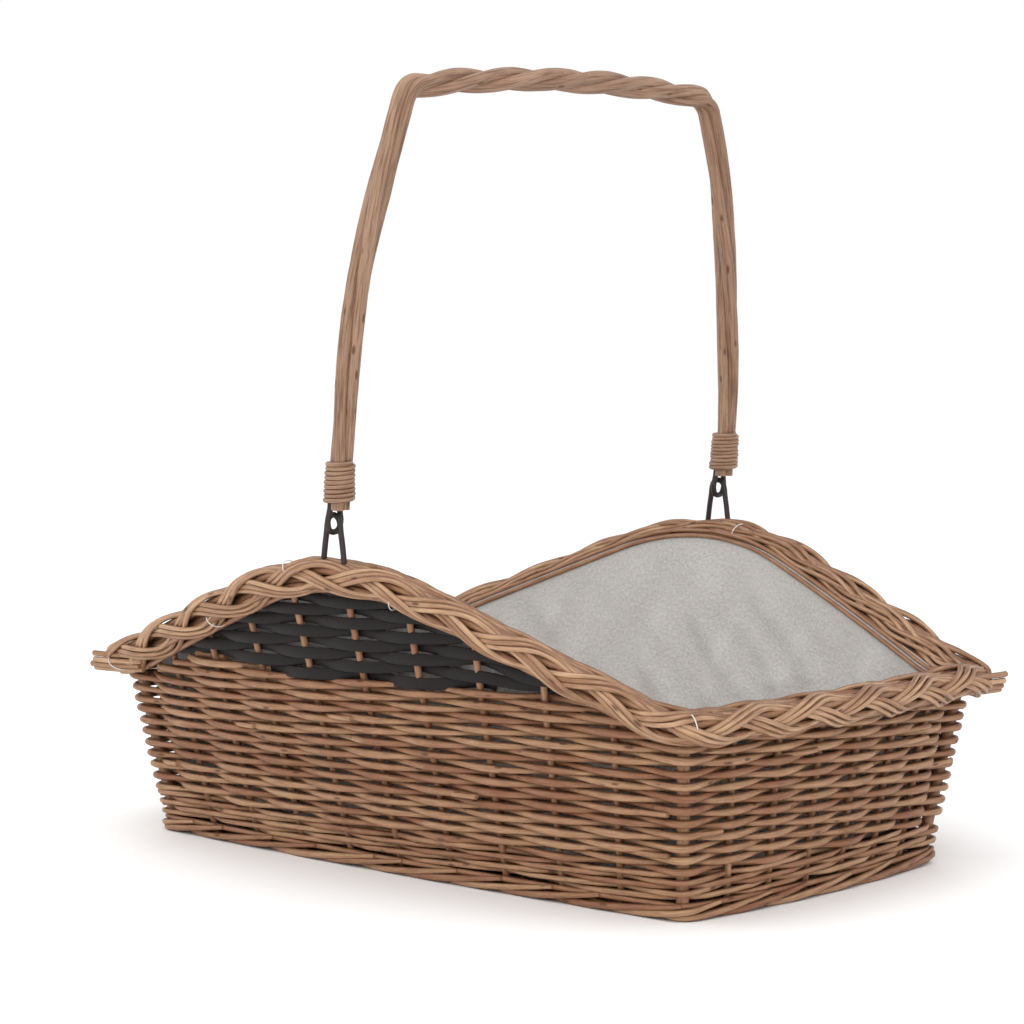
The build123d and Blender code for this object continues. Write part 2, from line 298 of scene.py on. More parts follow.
def finished(tree, geometry, around, finish):
    """Store the grain, smooth the long faces but not the cut ends, set the material and end."""
    along = add_node(tree, "GeometryNodeInputNamedAttribute", None, {"Name": "along"}).outputs[0]
    lengthwise = add_node(tree, "ShaderNodeCombineXYZ", None, {"Z": along}).outputs[0]
    grain = add_node(tree, "ShaderNodeVectorMath", {"operation": "ADD"}, {0: around, 1: lengthwise})
    geometry = add_node(
        tree,
        "GeometryNodeStoreNamedAttribute",
        {"data_type": "FLOAT_VECTOR"},
        {"Geometry": geometry, "Name": "grain", "Value": grain.outputs[0]},
    ).outputs[0]
    corners = add_node(tree, "GeometryNodeInputMeshFaceNeighbors").outputs["Vertex Count"]
    is_long = add_node(
        tree, "FunctionNodeCompare", {"data_type": "INT", "operation": "EQUAL"}, {2: corners, 3: 4}
    ).outputs[0]
    flat = add_node(
        tree, "GeometryNodeSetShadeSmooth", None, {"Geometry": geometry, "Shade Smooth": False}
    ).outputs[0]
    smooth = add_node(
        tree,
        "GeometryNodeSetShadeSmooth",
        None,
        {"Geometry": flat, "Selection": is_long, "Shade Smooth": True},
    ).outputs[0]
    real = add_node(tree, "GeometryNodeRealizeInstances", None, {0: smooth}).outputs[0]
    painted = add_node(tree, "GeometryNodeSetMaterial", None, {0: real, "Material": finish}).outputs[0]
    add_node(tree, "NodeGroupOutput", None, {0: painted})


def rod_tree():
    """Sweep round rods along the lines, thickened by rod_radius and flattened by squeeze.

    Each point keeps its grain, a place along and around its rod, and its rise, how high it lies
    on its rod, from -1 to 1.
    """
    sockets = [
        ("Sides", "Int"),
        ("Lump Height", "Float"),
        ("Lumps Per Metre", "Float"),
        ("Seed", "Float"),
        ("Finish", "Material"),
    ]
    tree, given = new_tree("Willow Rods", sockets)
    line = add_node(tree, "GeometryNodeMeshToCurve", None, {0: given["Geometry"]}).outputs[0]
    position = add_node(tree, "GeometryNodeInputPosition").outputs[0]
    held = add_node(tree, "GeometryNodeCaptureAttribute", None, {"Geometry": line})
    held.capture_items.new("VECTOR", "centre")
    tree.links.new(position, held.inputs["centre"])
    line = held.outputs["Geometry"]
    centre = held.outputs["centre"]
    ring = add_node(
        tree, "GeometryNodeCurvePrimitiveCircle", None, {"Resolution": given["Sides"], "Radius": 1.0}
    ).outputs[0]
    held = add_node(tree, "GeometryNodeCaptureAttribute", None, {"Geometry": ring})
    held.capture_items.new("VECTOR", "around")
    tree.links.new(position, held.inputs["around"])
    ring = held.outputs["Geometry"]
    around = held.outputs["around"]
    radius = add_node(tree, "GeometryNodeInputNamedAttribute", None, {"Name": "rod_radius"}).outputs[0]
    skin = add_node(
        tree,
        "GeometryNodeCurveToMesh",
        None,
        {"Curve": line, "Profile Curve": ring, "Scale": radius, "Fill Caps": True},
    ).outputs[0]
    away = add_node(tree, "ShaderNodeVectorMath", {"operation": "SUBTRACT"}, {0: position, 1: centre})
    rise = add_node(tree, "ShaderNodeSeparateXYZ", None, {0: away.outputs[0]}).outputs["Z"]
    level = add_node(tree, "ShaderNodeMath", {"operation": "DIVIDE"}, {0: rise, 1: radius}).outputs[0]
    skin = add_node(
        tree,
        "GeometryNodeStoreNamedAttribute",
        None,
        {"Geometry": skin, "Name": "rise", "Value": level},
    ).outputs[0]
    squeeze = add_node(tree, "GeometryNodeInputNamedAttribute", None, {"Name": "squeeze"}).outputs[0]
    less = add_node(tree, "ShaderNodeMath", {"operation": "SUBTRACT"}, {0: squeeze, 1: 1.0})
    drop = add_node(tree, "ShaderNodeMath", {"operation": "MULTIPLY"}, {0: rise, 1: less.outputs[0]})
    offset = add_node(tree, "ShaderNodeCombineXYZ", None, {"Z": drop.outputs[0]})
    skin = add_node(
        tree, "GeometryNodeSetPosition", None, {"Geometry": skin, "Offset": offset.outputs[0]}
    ).outputs[0]
    skin = lumps(tree, skin, given["Lump Height"], given["Lumps Per Metre"], given["Seed"])
    scaled = add_node(tree, "ShaderNodeVectorMath", {"operation": "SCALE"}, {0: around, "Scale": radius})
    finished(tree, skin, scaled.outputs[0], given["Finish"])
    return tree


def strip_tree():
    """Sweep flat strips along the lines, with their broad face turned to facing."""
    sockets = [
        ("Width", "Float"),
        ("Thickness", "Float"),
        ("Edge Radius", "Float"),
        ("Lump Height", "Float"),
        ("Lumps Per Metre", "Float"),
        ("Seed", "Float"),
        ("Finish", "Material"),
    ]
    tree, given = new_tree("Flat Strips", sockets)
    line = add_node(tree, "GeometryNodeMeshToCurve", None, {0: given["Geometry"]}).outputs[0]
    facing = add_node(
        tree, "GeometryNodeInputNamedAttribute", {"data_type": "FLOAT_VECTOR"}, {"Name": "facing"}
    ).outputs[0]
    line = add_node(
        tree, "GeometryNodeSetCurveNormal", {"mode": "FREE"}, {"Curve": line, "Normal": facing}
    ).outputs[0]
    section = add_node(
        tree,
        "GeometryNodeCurvePrimitiveQuadrilateral",
        None,
        {"Width": given["Thickness"], "Height": given["Width"]},
    ).outputs[0]
    section = add_node(
        tree,
        "GeometryNodeFilletCurve",
        {"mode": "POLY"},
        {"Curve": section, "Count": 1, "Radius": given["Edge Radius"]},
    ).outputs[0]
    position = add_node(tree, "GeometryNodeInputPosition").outputs[0]
    held = add_node(tree, "GeometryNodeCaptureAttribute", None, {"Geometry": section})
    held.capture_items.new("VECTOR", "around")
    tree.links.new(position, held.inputs["around"])
    section = held.outputs["Geometry"]
    around = held.outputs["around"]
    squeeze = add_node(tree, "GeometryNodeInputNamedAttribute", None, {"Name": "squeeze"}).outputs[0]
    skin = add_node(
        tree,
        "GeometryNodeCurveToMesh",
        None,
        {"Curve": line, "Profile Curve": section, "Scale": squeeze, "Fill Caps": True},
    ).outputs[0]
    skin = lumps(tree, skin, given["Lump Height"], given["Lumps Per Metre"], given["Seed"])
    finished(tree, skin, around, given["Finish"])
    return tree


def tree_named(name, maker):
    return bpy.data.node_groups.get(name) or maker()


def grown(name, bundle, tree, values):
    """Run a bundle through a tree and keep the result as a plain mesh object."""
    base = bpy.data.objects.new(name + "_lines", bundle.mesh(name + "_lines"))
    bpy.context.scene.collection.objects.link(base)
    modifier = base.modifiers.new("Sweep", "NODES")
    modifier.node_group = tree
    identifiers = {s.name: s.identifier for s in tree.interface.items_tree if s.in_out == "INPUT"}
    for key, value in values.items():
        modifier[identifiers[key]] = value
    evaluated = base.evaluated_get(bpy.context.evaluated_depsgraph_get())
    mesh = bpy.data.meshes.new_from_object(evaluated)
    mesh.name = name
    for field in ("rod_radius", "squeeze", "facing", "along"):
        if field in mesh.attributes:
            mesh.attributes.remove(mesh.attributes[field])
    bpy.data.objects.remove(base)
    piece = bpy.data.objects.new(name, mesh)
    bpy.context.scene.collection.objects.link(piece)
    return piece


def swept_rods(name, bundle, finish, sides=8, lump=0.0004, lumps_per_metre=90.0, seed=1.0):
    values = {"Lump Height": lump, "Lumps Per Metre": lumps_per_metre, "Seed": seed, "Finish": finish}
    return grown(name, bundle, tree_named("Willow Rods", rod_tree), {"Sides": sides, **values})


def swept_strips(name, bundle, finish, width, thickness, lump=0.0, lumps_per_metre=60.0, seed=1.0):
    section = {"Width": width, "Thickness": thickness, "Edge Radius": thickness * 0.3}
    values = {"Lump Height": lump, "Lumps Per Metre": lumps_per_metre, "Seed": seed, "Finish": finish}
    return grown(name, bundle, tree_named("Flat Strips", strip_tree), {**section, **values})


def set_down(piece, body, slot, *replaced):
    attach(piece, body)
    if replaced:
        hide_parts(*replaced)


# --- Materials ---


def new_material(name):
    material = bpy.data.materials.new(name)
    material.use_nodes = True
    tree = material.node_tree
    return material, tree, tree.nodes["Principled BSDF"]


# A colour Mix node's sockets, which share their names: factor, two colours and the result.
MIX_COLOURS = {"data_type": "RGBA"}
FACTOR, FIRST, SECOND, RESULT = 0, 6, 7, 2


def willow(
    name,
    dark,
    middle,
    light,
    streak=0.0009,
    run=16.0,
    contrast=0.45,
    edge_shade=0.75,
    knots=True,
    roughness=0.5,
):
    """Willow rod: fine lengthwise streaks, a tone of its own for each rod, painted shade along the
    edges where rods lie together, small dark bud scars and a low, waxy gloss.

    Streak is the streaks' width in metres, and run is how many times longer than wide they are.
    """
    material, tree, shader = new_material(name)
    grain = add_node(tree, "ShaderNodeAttribute", {"attribute_name": "grain"}).outputs["Vector"]
    tint = add_node(tree, "ShaderNodeAttribute", {"attribute_name": "tint"}).outputs["Fac"]
    drawn = add_node(tree, "ShaderNodeMapping", None, {"Vector": grain, "Scale": (1, 1, 1 / run)})
    fine = add_node(
        tree,
        "ShaderNodeTexNoise",
        None,
        {"Vector": drawn.outputs[0], "Scale": 1 / streak, "Detail": 4.0, "Roughness": 0.6},
    ).outputs["Fac"]
    drawn = add_node(tree, "ShaderNodeMapping", None, {"Vector": grain, "Scale": (1, 1, 0.3)})
    broad = add_node(
        tree,
        "ShaderNodeTexNoise",
        None,
        {"Vector": drawn.outputs[0], "Scale": 0.12 / streak, "Detail": 3.0, "Roughness": 0.6},
    ).outputs["Fac"]
    tone = add_node(tree, "ShaderNodeMath", {"operation": "MULTIPLY_ADD"}, {0: tint, 1: 0.75, 2: broad})
    tone = add_node(tree, "ShaderNodeMapRange", None, {0: tone.outputs[0], 1: 0.45, 2: 1.3}).outputs[0]
    body = add_node(tree, "ShaderNodeMix", MIX_COLOURS, {FACTOR: tone, FIRST: middle, SECOND: light})
    streaks = add_node(
        tree, "ShaderNodeMapRange", None, {0: fine, 1: 0.46, 2: 0.64, 3: 0.0, 4: contrast}
    ).outputs[0]
    colour = add_node(
        tree, "ShaderNodeMix", MIX_COLOURS, {FACTOR: streaks, FIRST: body.outputs[RESULT], SECOND: dark}
    ).outputs[RESULT]
    # Painted shade: the top and bottom of each rod, where it lies against its neighbours, are darkened
    # towards the dark colour to stand in for the shade between rods.
    if edge_shade:
        rise = add_node(tree, "ShaderNodeAttribute", {"attribute_name": "rise"}).outputs["Fac"]
        edge = add_node(tree, "ShaderNodeMath", {"operation": "ABSOLUTE"}, {0: rise}).outputs[0]
        edge = add_node(tree, "ShaderNodeMath", {"operation": "MULTIPLY_ADD"}, {0: fine, 1: 0.5, 2: edge})
        edge_shading = add_node(
            tree, "ShaderNodeMapRange", None, {0: edge.outputs[0], 1: 0.85, 2: 1.2, 3: 0.0, 4: edge_shade}
        ).outputs[0]
        colour = add_node(
            tree, "ShaderNodeMix", MIX_COLOURS, {FACTOR: edge_shading, FIRST: colour, SECOND: dark}
        ).outputs[RESULT]
    if knots:
        spots = add_node(tree, "ShaderNodeMapping", None, {"Vector": grain, "Scale": (1, 1, 0.35)})
        cell = add_node(
            tree, "ShaderNodeTexVoronoi", None, {"Vector": spots.outputs[0], "Scale": 110.0}
        ).outputs["Distance"]
        scar = add_node(
            tree, "ShaderNodeMapRange", None, {0: cell, 1: 0.09, 2: 0.17, 3: 0.9, 4: 0.0}
        ).outputs[0]
        colour = add_node(
            tree, "ShaderNodeMix", MIX_COLOURS, {FACTOR: scar, FIRST: colour, SECOND: dark}
        ).outputs[RESULT]
    tree.links.new(colour, shader.inputs["Base Color"])
    gloss = add_node(
        tree,
        "ShaderNodeMapRange",
        None,
        {0: fine, 1: 0.3, 2: 0.7, 3: roughness - 0.08, 4: roughness + 0.12},
    ).outputs[0]
    tree.links.new(gloss, shader.inputs["Roughness"])
    bump = add_node(tree, "ShaderNodeBump", None, {"Strength": 0.7, "Distance": 0.0006, "Height": fine})
    tree.links.new(bump.outputs[0], shader.inputs["Normal"])
    return material


def dark_strip_material():
    """Peeled strips stained near black: smooth, with a faint satin sheen and a hint of grain."""
    material, tree, shader = new_material("stained_dark_willow_strip")
    grain = add_node(tree, "ShaderNodeAttribute", {"attribute_name": "grain"}).outputs["Vector"]
    drawn = add_node(tree, "ShaderNodeMapping", None, {"Vector": grain, "Scale": (1, 1, 0.05)})
    fine = add_node(
        tree, "ShaderNodeTexNoise", None, {"Vector": drawn.outputs[0], "Scale": 800.0, "Detail": 3.0}
    ).outputs["Fac"]
    colour = add_node(
        tree,
        "ShaderNodeMix",
        MIX_COLOURS,
        {FACTOR: fine, FIRST: linear("#130f0f"), SECOND: linear("#221c1b")},
    ).outputs[RESULT]
    tree.links.new(colour, shader.inputs["Base Color"])
    shader.inputs["Roughness"].default_value = 0.55
    shader.inputs["Specular IOR Level"].default_value = 0.22
    bump = add_node(tree, "ShaderNodeBump", None, {"Strength": 0.2, "Distance": 0.0003, "Height": fine})
    tree.links.new(bump.outputs[0], shader.inputs["Normal"])
    return material


def wire_material():
    """Blackened steel wire: dark oxide over drawn steel, satin, browner and duller in patches."""
    material, tree, shader = new_material("blackened_steel_wire")
    place = add_node(tree, "ShaderNodeTexCoord").outputs["Object"]
    patch = add_node(
        tree, "ShaderNodeTexNoise", None, {"Vector": place, "Scale": 260.0, "Detail": 4.0}
    ).outputs["Fac"]
    colour = add_node(
        tree,
        "ShaderNodeMix",
        MIX_COLOURS,
        {FACTOR: patch, FIRST: linear("#2b2425"), SECOND: linear("#4a3f3e")},
    ).outputs[RESULT]
    tree.links.new(colour, shader.inputs["Base Color"])
    shader.inputs["Metallic"].default_value = 0.6
    gloss = add_node(tree, "ShaderNodeMapRange", None, {0: patch, 1: 0.3, 2: 0.7, 3: 0.38, 4: 0.6})
    tree.links.new(gloss.outputs[0], shader.inputs["Roughness"])
    bump = add_node(tree, "ShaderNodeBump", None, {"Strength": 0.25, "Distance": 0.0002, "Height": patch})
    tree.links.new(bump.outputs[0], shader.inputs["Normal"])
    return material


def cotton_material():
    """Unbleached plain-weave cotton: two crossing sets of threads with slubs, matt and soft.
    Threads are drawn 1.1 mm apart, coarser than the real cloth, so that they show."""
    material, tree, shader = new_material("natural_cotton_lining")
    cloth = add_node(tree, "ShaderNodeUVMap", {"uv_map": "cloth"}).outputs[0]
    thread = 0.0011
    waves = []
    for direction in ("X", "Y"):
        waves.append(
            add_node(
                tree,
                "ShaderNodeTexWave",
                {"bands_direction": direction},
                {"Vector": cloth, "Scale": 1 / thread / 3.18, "Distortion": 0.6, "Detail Scale": 2.0},
            ).outputs["Fac"]
        )
    weave = add_node(tree, "ShaderNodeMath", {"operation": "MAXIMUM"}, {0: waves[0], 1: waves[1]}).outputs[0]
    slub = add_node(
        tree, "ShaderNodeTexNoise", None, {"Vector": cloth, "Scale": 420.0, "Detail": 5.0, "Roughness": 0.65}
    ).outputs["Fac"]
    cloud = add_node(
        tree, "ShaderNodeTexNoise", None, {"Vector": cloth, "Scale": 18.0, "Detail": 3.0}
    ).outputs["Fac"]
    knot = add_node(tree, "ShaderNodeMapRange", None, {0: slub, 1: 0.3, 2: 0.72}).outputs[0]
    colour = add_node(
        tree,
        "ShaderNodeMix",
        MIX_COLOURS,
        {FACTOR: knot, FIRST: linear("#a7a39f"), SECOND: linear("#cac7c3")},
    ).outputs[RESULT]
    patch = add_node(
        tree, "ShaderNodeMapRange", None, {0: cloud, 1: 0.35, 2: 0.7, 3: 0.0, 4: 0.3}
    ).outputs[0]
    colour = add_node(
        tree, "ShaderNodeMix", MIX_COLOURS, {FACTOR: patch, FIRST: colour, SECOND: linear("#c4c0bb")}
    ).outputs[RESULT]
    tree.links.new(colour, shader.inputs["Base Color"])
    shader.inputs["Roughness"].default_value = 0.9
    shader.inputs["Sheen Weight"].default_value = 0.15
    crumple = add_node(
        tree, "ShaderNodeTexNoise", None, {"Vector": cloth, "Scale": 170.0, "Detail": 5.0, "Roughness": 0.6}
    ).outputs["Fac"]
    fine = add_node(tree, "ShaderNodeMath", {"operation": "MULTIPLY_ADD"}, {0: weave, 1: 0.35, 2: slub})
    height = add_node(
        tree, "ShaderNodeMath", {"operation": "MULTIPLY_ADD"}, {0: crumple, 1: 2.5, 2: fine.outputs[0]}
    )
    bump = add_node(
        tree, "ShaderNodeBump", None, {"Strength": 0.8, "Distance": 0.0006, "Height": height.outputs[0]}
    )
    tree.links.new(bump.outputs[0], shader.inputs["Normal"])
    return material


def thread_material():
    """Bleached polyester sewing thread: bright, with a soft twist."""
    material, tree, shader = new_material("white_sewing_thread")
    grain = add_node(tree, "ShaderNodeAttribute", {"attribute_name": "grain"}).outputs["Vector"]
    twist = add_node(
        tree, "ShaderNodeTexWave", {"bands_direction": "DIAGONAL"}, {"Vector": grain, "Scale": 400.0}
    ).outputs["Fac"]
    colour = add_node(
        tree,
        "ShaderNodeMix",
        MIX_COLOURS,
        {FACTOR: twist, FIRST: linear("#cfcdc6"), SECOND: linear("#efede8")},
    ).outputs[RESULT]
    tree.links.new(colour, shader.inputs["Base Color"])
    shader.inputs["Roughness"].default_value = 0.6
    return material


def finish(name):
    """The material of that name, made the first time it is asked for."""
    colours = bpy.context.scene.basket_finish
    makers = {
        "steamed_brown_willow": lambda: willow(
            "steamed_brown_willow", colours.bark_and_shade_dark, colours.wall_middle, colours.wall_light
        ),
        "buff_border_willow": lambda: willow(
            "buff_border_willow", colours.bark_and_shade_dark, colours.border_middle, colours.border_light
        ),
        "peeled_handle_willow": lambda: willow(
            "peeled_handle_willow",
            colours.bark_and_shade_dark,
            colours.handle_middle,
            colours.handle_light,
            streak=0.0013,
            run=24.0,
            contrast=0.7,
            edge_shade=0.0,
        ),
        "split_willow_skein": lambda: willow(
            "split_willow_skein",
            colours.bark_and_shade_dark,
            colours.handle_middle,
            colours.handle_light,
            knots=False,
            roughness=0.42,
            contrast=0.5,
        ),
        "stained_dark_willow_strip": dark_strip_material,
        "blackened_steel_wire": wire_material,
        "natural_cotton_lining": cotton_material,
        "white_sewing_thread": thread_material,
    }
    return bpy.data.materials.get(name) or makers[name]()


# --- Settings ---


def length_property(name, description, default):
    return FloatProperty(name=name, description=description, default=default, unit="LENGTH")


def colour_property(name, description, hex_colour):
    return FloatVectorProperty(
        name=name, description=description, subtype="COLOR", size=4, min=0, max=1, default=linear(hex_colour)
    )


class WeaveSettings(bpy.types.PropertyGroup):
    rod_diameter: length_property("Rod Diameter", "Brown weaving rod", 0.0060)
    row_pitch: length_property("Row Pitch", "From one row of rods to the next", 0.00435)
    strip_width: length_property("Strip Width", "Dark flat strip", 0.0084)
    strip_pitch: length_property("Strip Pitch", "From one row of strips to the next", 0.0079)
    wale_diameter: length_property("Wale Rod Diameter", "Fine rods twined over the foot", 0.0041)
    foot_diameter: length_property("Foot Rod Diameter", "Rods of the foot border", 0.0054)
    seed: IntProperty(name="Seed", description="Unevenness of the rods", default=7)


class BorderSettings(bpy.types.PropertyGroup):
    rod_diameter: length_property("Rod Diameter", "Rods of the rim plait", 0.0042)
    plait_length: length_property("Plait Length", "Along the rim for one strand's full turn", 0.192)
    plait_reach: length_property("Plait Reach", "How far a strand swings each way", 0.0160)


class LiningSettings(bpy.types.PropertyGroup):
    wrinkle: length_property("Wrinkle", "Depth of the cloth's soft wrinkles", 0.0030)
    grid: length_property("Grid", "Spacing of the cloth's mesh", 0.004)


class HandleSettings(bpy.types.PropertyGroup):
    rod_diameter: length_property("Rod Diameter", "Each of the three rods", 0.0096)
    leg_turns: FloatProperty(name="Leg Turns", description="Twist up each leg", default=0.42)
    grip_turns: FloatProperty(name="Grip Turns", description="Twist along the grip", default=2.1)
    skein_width: length_property("Skein Width", "Split willow of the bindings", 0.0035)


class FinishSettings(bpy.types.PropertyGroup):
    # This dark colour serves the bark streaks and bud scars, and also the painted shade along the top and
    # bottom of the rods.
    bark_and_shade_dark: colour_property("Bark Dark", "Streaks and bud scars", "#56321c")
    wall_middle: colour_property("Wall Middle", "Darker brown rods", "#8a5a3c")
    wall_light: colour_property("Wall Light", "Lighter brown rods", "#b28a67")
    border_middle: colour_property("Border Middle", "Darker rim rods", "#8e6143")
    border_light: colour_property("Border Light", "Lighter rim rods", "#caa480")
    handle_middle: colour_property("Handle Middle", "Darker handle rods", "#80604b")
    handle_light: colour_property("Handle Light", "Lighter handle rods", "#a9866c")


# --- Pieces ---


def slow_noise(rng, position, waves, lowest=1.0, highest=4.0):
    """A smooth random curve about 0 with a height of about 1, over a position from 0 to 1."""
    total = np.zeros_like(position)
    for _ in range(waves):
        rate = rng.uniform(lowest, highest)
        total = total + np.sin(2 * pi * (rate * position + rng.random()))
    return total / sqrt(waves)


def rod_tints(rng, position, rod_share):
    """A tone for each rod of a row, changing where one rod ends and the next begins."""
    start = rng.random() * rod_share
    index = np.floor((position + start) / rod_share).astype(int)
    tones = rng.random(index.max() + 1)
    return tones[index]


def top_wave(x):
    """How the top of the brown weave rises and falls along a long side."""
    return 0.006 * np.sin(pi * (x + 0.04) / 0.5) - 0.002


def weave_inset(turns, row, reach, corner_reach):
    """A rod's path in front of one upright and behind the next."""
    swing = reach + (corner_reach - reach) * corner_nearness(turns)
    return WALL / 2 - swing * np.cos(pi * (upright_count(turns) + row))


def behind(turns, row):
    """1 where a row passes behind an upright, 0 where it passes in front."""
    return (0.5 - 0.5 * np.cos(pi * (upright_count(turns) + row))) ** 2


ROD_REACH = 0.0018          # a rod's clearance past the middle of an upright, on top of its radius
ROD_CORNER_REACH = 0.0035   # the same at a corner post
ROD_FLATTENED = 0.25        # how much a rod is pressed flat between the uprights
ROD_ENDS = 18               # where a new rod starts, its end shows outside the weave


def full_rows(bundle, rng, first_z, last_z, pitch, radius, samples=8):
    """Rows of rods that go all the way round; returns the next row's height and number."""
    turns = round_turns(samples)
    row = 0
    z = first_z
    position = turns / 4
    while z < last_z:
        crossing = np.sin(pi * upright_count(turns)) ** 2
        height = z + 0.0005 * slow_noise(rng, position, 3, 2, 14) + 0.0006 * behind(turns, row)
        inset = weave_inset(turns, row, ROD_REACH + radius, ROD_CORNER_REACH + radius)
        inset = inset + 0.0003 * slow_noise(rng, position, 3, 4, 30)
        points = wall_point(turns, height, inset)
        points[:, 2] += lift(points[:, 0], turns, height)
        thickness = radius * (1 + 0.07 * slow_noise(rng, position, 3, 1, 9))
        bundle.add(
            points,
            thickness,
            tint=rod_tints(rng, position, 0.24),
            squeeze=1 - ROD_FLATTENED * crossing,
            closed=True,
            start=row * 7.3,
        )
        row += 1
        z += pitch
    return z, row


def lift(x, turns, z):
    """Follow the uneven top of the brown weave, more so towards the top of the long sides."""
    side = np.floor(turns).astype(int) % 4
    facing = np.where(side == 0, 1.0, -1.0)
    share = np.clip((z - WALE_TOP) / (ROD_TOP - WALE_TOP), 0, 1)
    centred = 1 - np.abs(2 * (turns - np.floor(turns)) - 1) ** 4
    return np.where(side % 2 == 0, top_wave(x * facing) * share**2 * centred, 0)


def arched_reach(z, margin):
    """How far from the middle of a long side a row at this height goes before the border."""
    x = np.linspace(0, ARCH_HALF_SPAN, 600)
    wall_top = arch_height(x, CORNER_Z - BORDER_HEIGHT, PEAK_Z - BORDER_HEIGHT)
    return x[wall_top > z - 1e-4].max() + margin if (wall_top > z).any() else 0.0


def side_turns(reach, z, samples):
    """Turns along the front from -reach to reach, in steps that fall on the uprights."""
    half = reach / corner_x(z)
    start = (1 - half) / 2
    end = (1 + half) / 2
    steps = 10 * samples
    inner = np.arange(np.ceil(start * steps), np.floor(end * steps) + 1) / steps
    return np.unique(np.concatenate([[start], inner, [end]]))


def arched_rows(bundle, rng, z, row, last_z, pitch, radius, samples=8):
    """Rows of rods that only run under the arch of each long side."""
    while z < last_z:
        for side in (0, 2):
            turns = side_turns(min(arched_reach(z, 0.010), 0.285), z, samples) + side
            position = turns / 4
            crossing = np.sin(pi * upright_count(turns)) ** 2
            inset = weave_inset(turns, row, ROD_REACH + radius, ROD_CORNER_REACH + radius)
            points = wall_point(turns, z + 0.0006 * slow_noise(rng, position, 3, 2, 14), inset)
            points[:, 2] += lift(points[:, 0], turns, z)
            bundle.add(
                points,
                radius * (1 + 0.07 * slow_noise(rng, position, 3, 1, 9)),
                tint=rng.random(),
                squeeze=1 - ROD_FLATTENED * crossing,
                start=row * 7.3 + side,
            )
        row += 1
        z += pitch
    for _ in range(2):
        for side in (0, 2):
            turns = side_turns(min(arched_reach(z, 0.012), 0.285), z, samples)
            turns = turns[turns < (0.32 if row % 2 == 0 else 0.22)] + side
            inset = weave_inset(turns, row, ROD_REACH + radius, ROD_CORNER_REACH + radius)
            points = wall_point(turns, z, inset)
            points[:, 2] += lift(points[:, 0], turns, z)
            bundle.add(points, radius, tint=rng.random(), start=row * 7.3 + side)
        row += 1
        z += pitch


def make_brown_weave():
    settings = bpy.context.scene.basket_weave
    rng = np.random.default_rng(settings.seed)
    bundle = Bundle()
    radius = settings.rod_diameter / 2
    level_top = CORNER_Z - BORDER_HEIGHT + 0.004
    z, row = full_rows(bundle, rng, WALE_TOP + radius - 0.0010, level_top, settings.row_pitch, radius)
    arched_rows(bundle, rng, z, row, ROD_TOP - radius, settings.row_pitch, radius)
    for number in range(ROD_ENDS):
        turn = rng.integers(0, SPACES.sum())
        side = int(np.searchsorted(SPACES_BEFORE, turn, side="right") - 1)
        share = np.linspace(0, 1, 9)
        turns = side + (turn - SPACES_BEFORE[side] + 0.75 * share) / SPACES[side]
        inset = 0.010 - 0.0098 * np.sin(pi / 2 * share)
        z = WALE_TOP + 0.006 + rng.uniform(0, 0.078) + 0.002 * share
        points = wall_point(np.clip(turns, side, side + 0.999), z, inset)
        bundle.add(points, 0.68 * radius, tint=rng.uniform(0.4, 1.0), start=number * 1.9)
    piece = swept_rods("brown_rod_weave", bundle, finish("steamed_brown_willow"))
    set_down(piece, BASKET, "wall_willow", *[f"rod_weave_{side}" for side in SIDES])


STRIP_THICKNESS = 0.0014
STRIP_CUT_START = 0.3       # the lowest strip is cut off square at these shares of the side
STRIP_CUT_END = 0.73
SAG_START = 0.70            # past its end the other strips sag to close the gap, over this run
SAG_RUN = 0.09
SAG_DEPTH = 0.0062


def make_dark_strips():
    settings = bpy.context.scene.basket_weave
    thickness = STRIP_THICKNESS
    top = PEAK_Z - BORDER_HEIGHT
    for side, name in ((0, "front"), (2, "back")):
        rng = np.random.default_rng(settings.seed + 20 + side)
        bundle = Bundle()
        z = ROD_TOP + settings.strip_width / 2 - 0.0035
        row = 0
        while z < top + 0.004:
            margin = 0.030 if row != 1 else 0.045
            reach = min(arched_reach(min(z - 0.006, top - 0.002), margin), 0.27)
            turns = side_turns(reach, z, 8) + side
            if row == 0:
                turns = turns[(turns - side > STRIP_CUT_START) & (turns - side < STRIP_CUT_END)]
            inset = weave_inset(turns, row, 0.0025 + thickness / 2, 0.003)
            position = turns / 4
            points = wall_point(turns, z + 0.0006 * slow_noise(rng, position, 3, 2, 14), inset)
            points[:, 2] += lift(points[:, 0], turns, ROD_TOP) + 0.0028 * behind(turns, row)
            past_end = np.clip((turns - side - SAG_START) / SAG_RUN, 0, 1)
            points[:, 2] -= SAG_DEPTH * past_end**2 * (3 - 2 * past_end)
            facing = outward(turns, z, inset)
            bundle.add(points, 1.0, tint=rng.random(), start=row * 3.1, facing=facing)
            row += 1
            z += settings.strip_pitch
        piece = swept_strips(
            f"woven_dark_strips_{name}",
            bundle,
            finish("stained_dark_willow_strip"),
            settings.strip_width,
            thickness,
            lump=0.0003,
        )
        set_down(piece, BASKET, "dark_strip", f"dark_strips_{name}")


def upright_turns():
    """The turn of each stake and corner post, and whether it is a post."""
    return [(side + i / n, i == 0) for side, n in enumerate(SPACES) for i in range(n)]


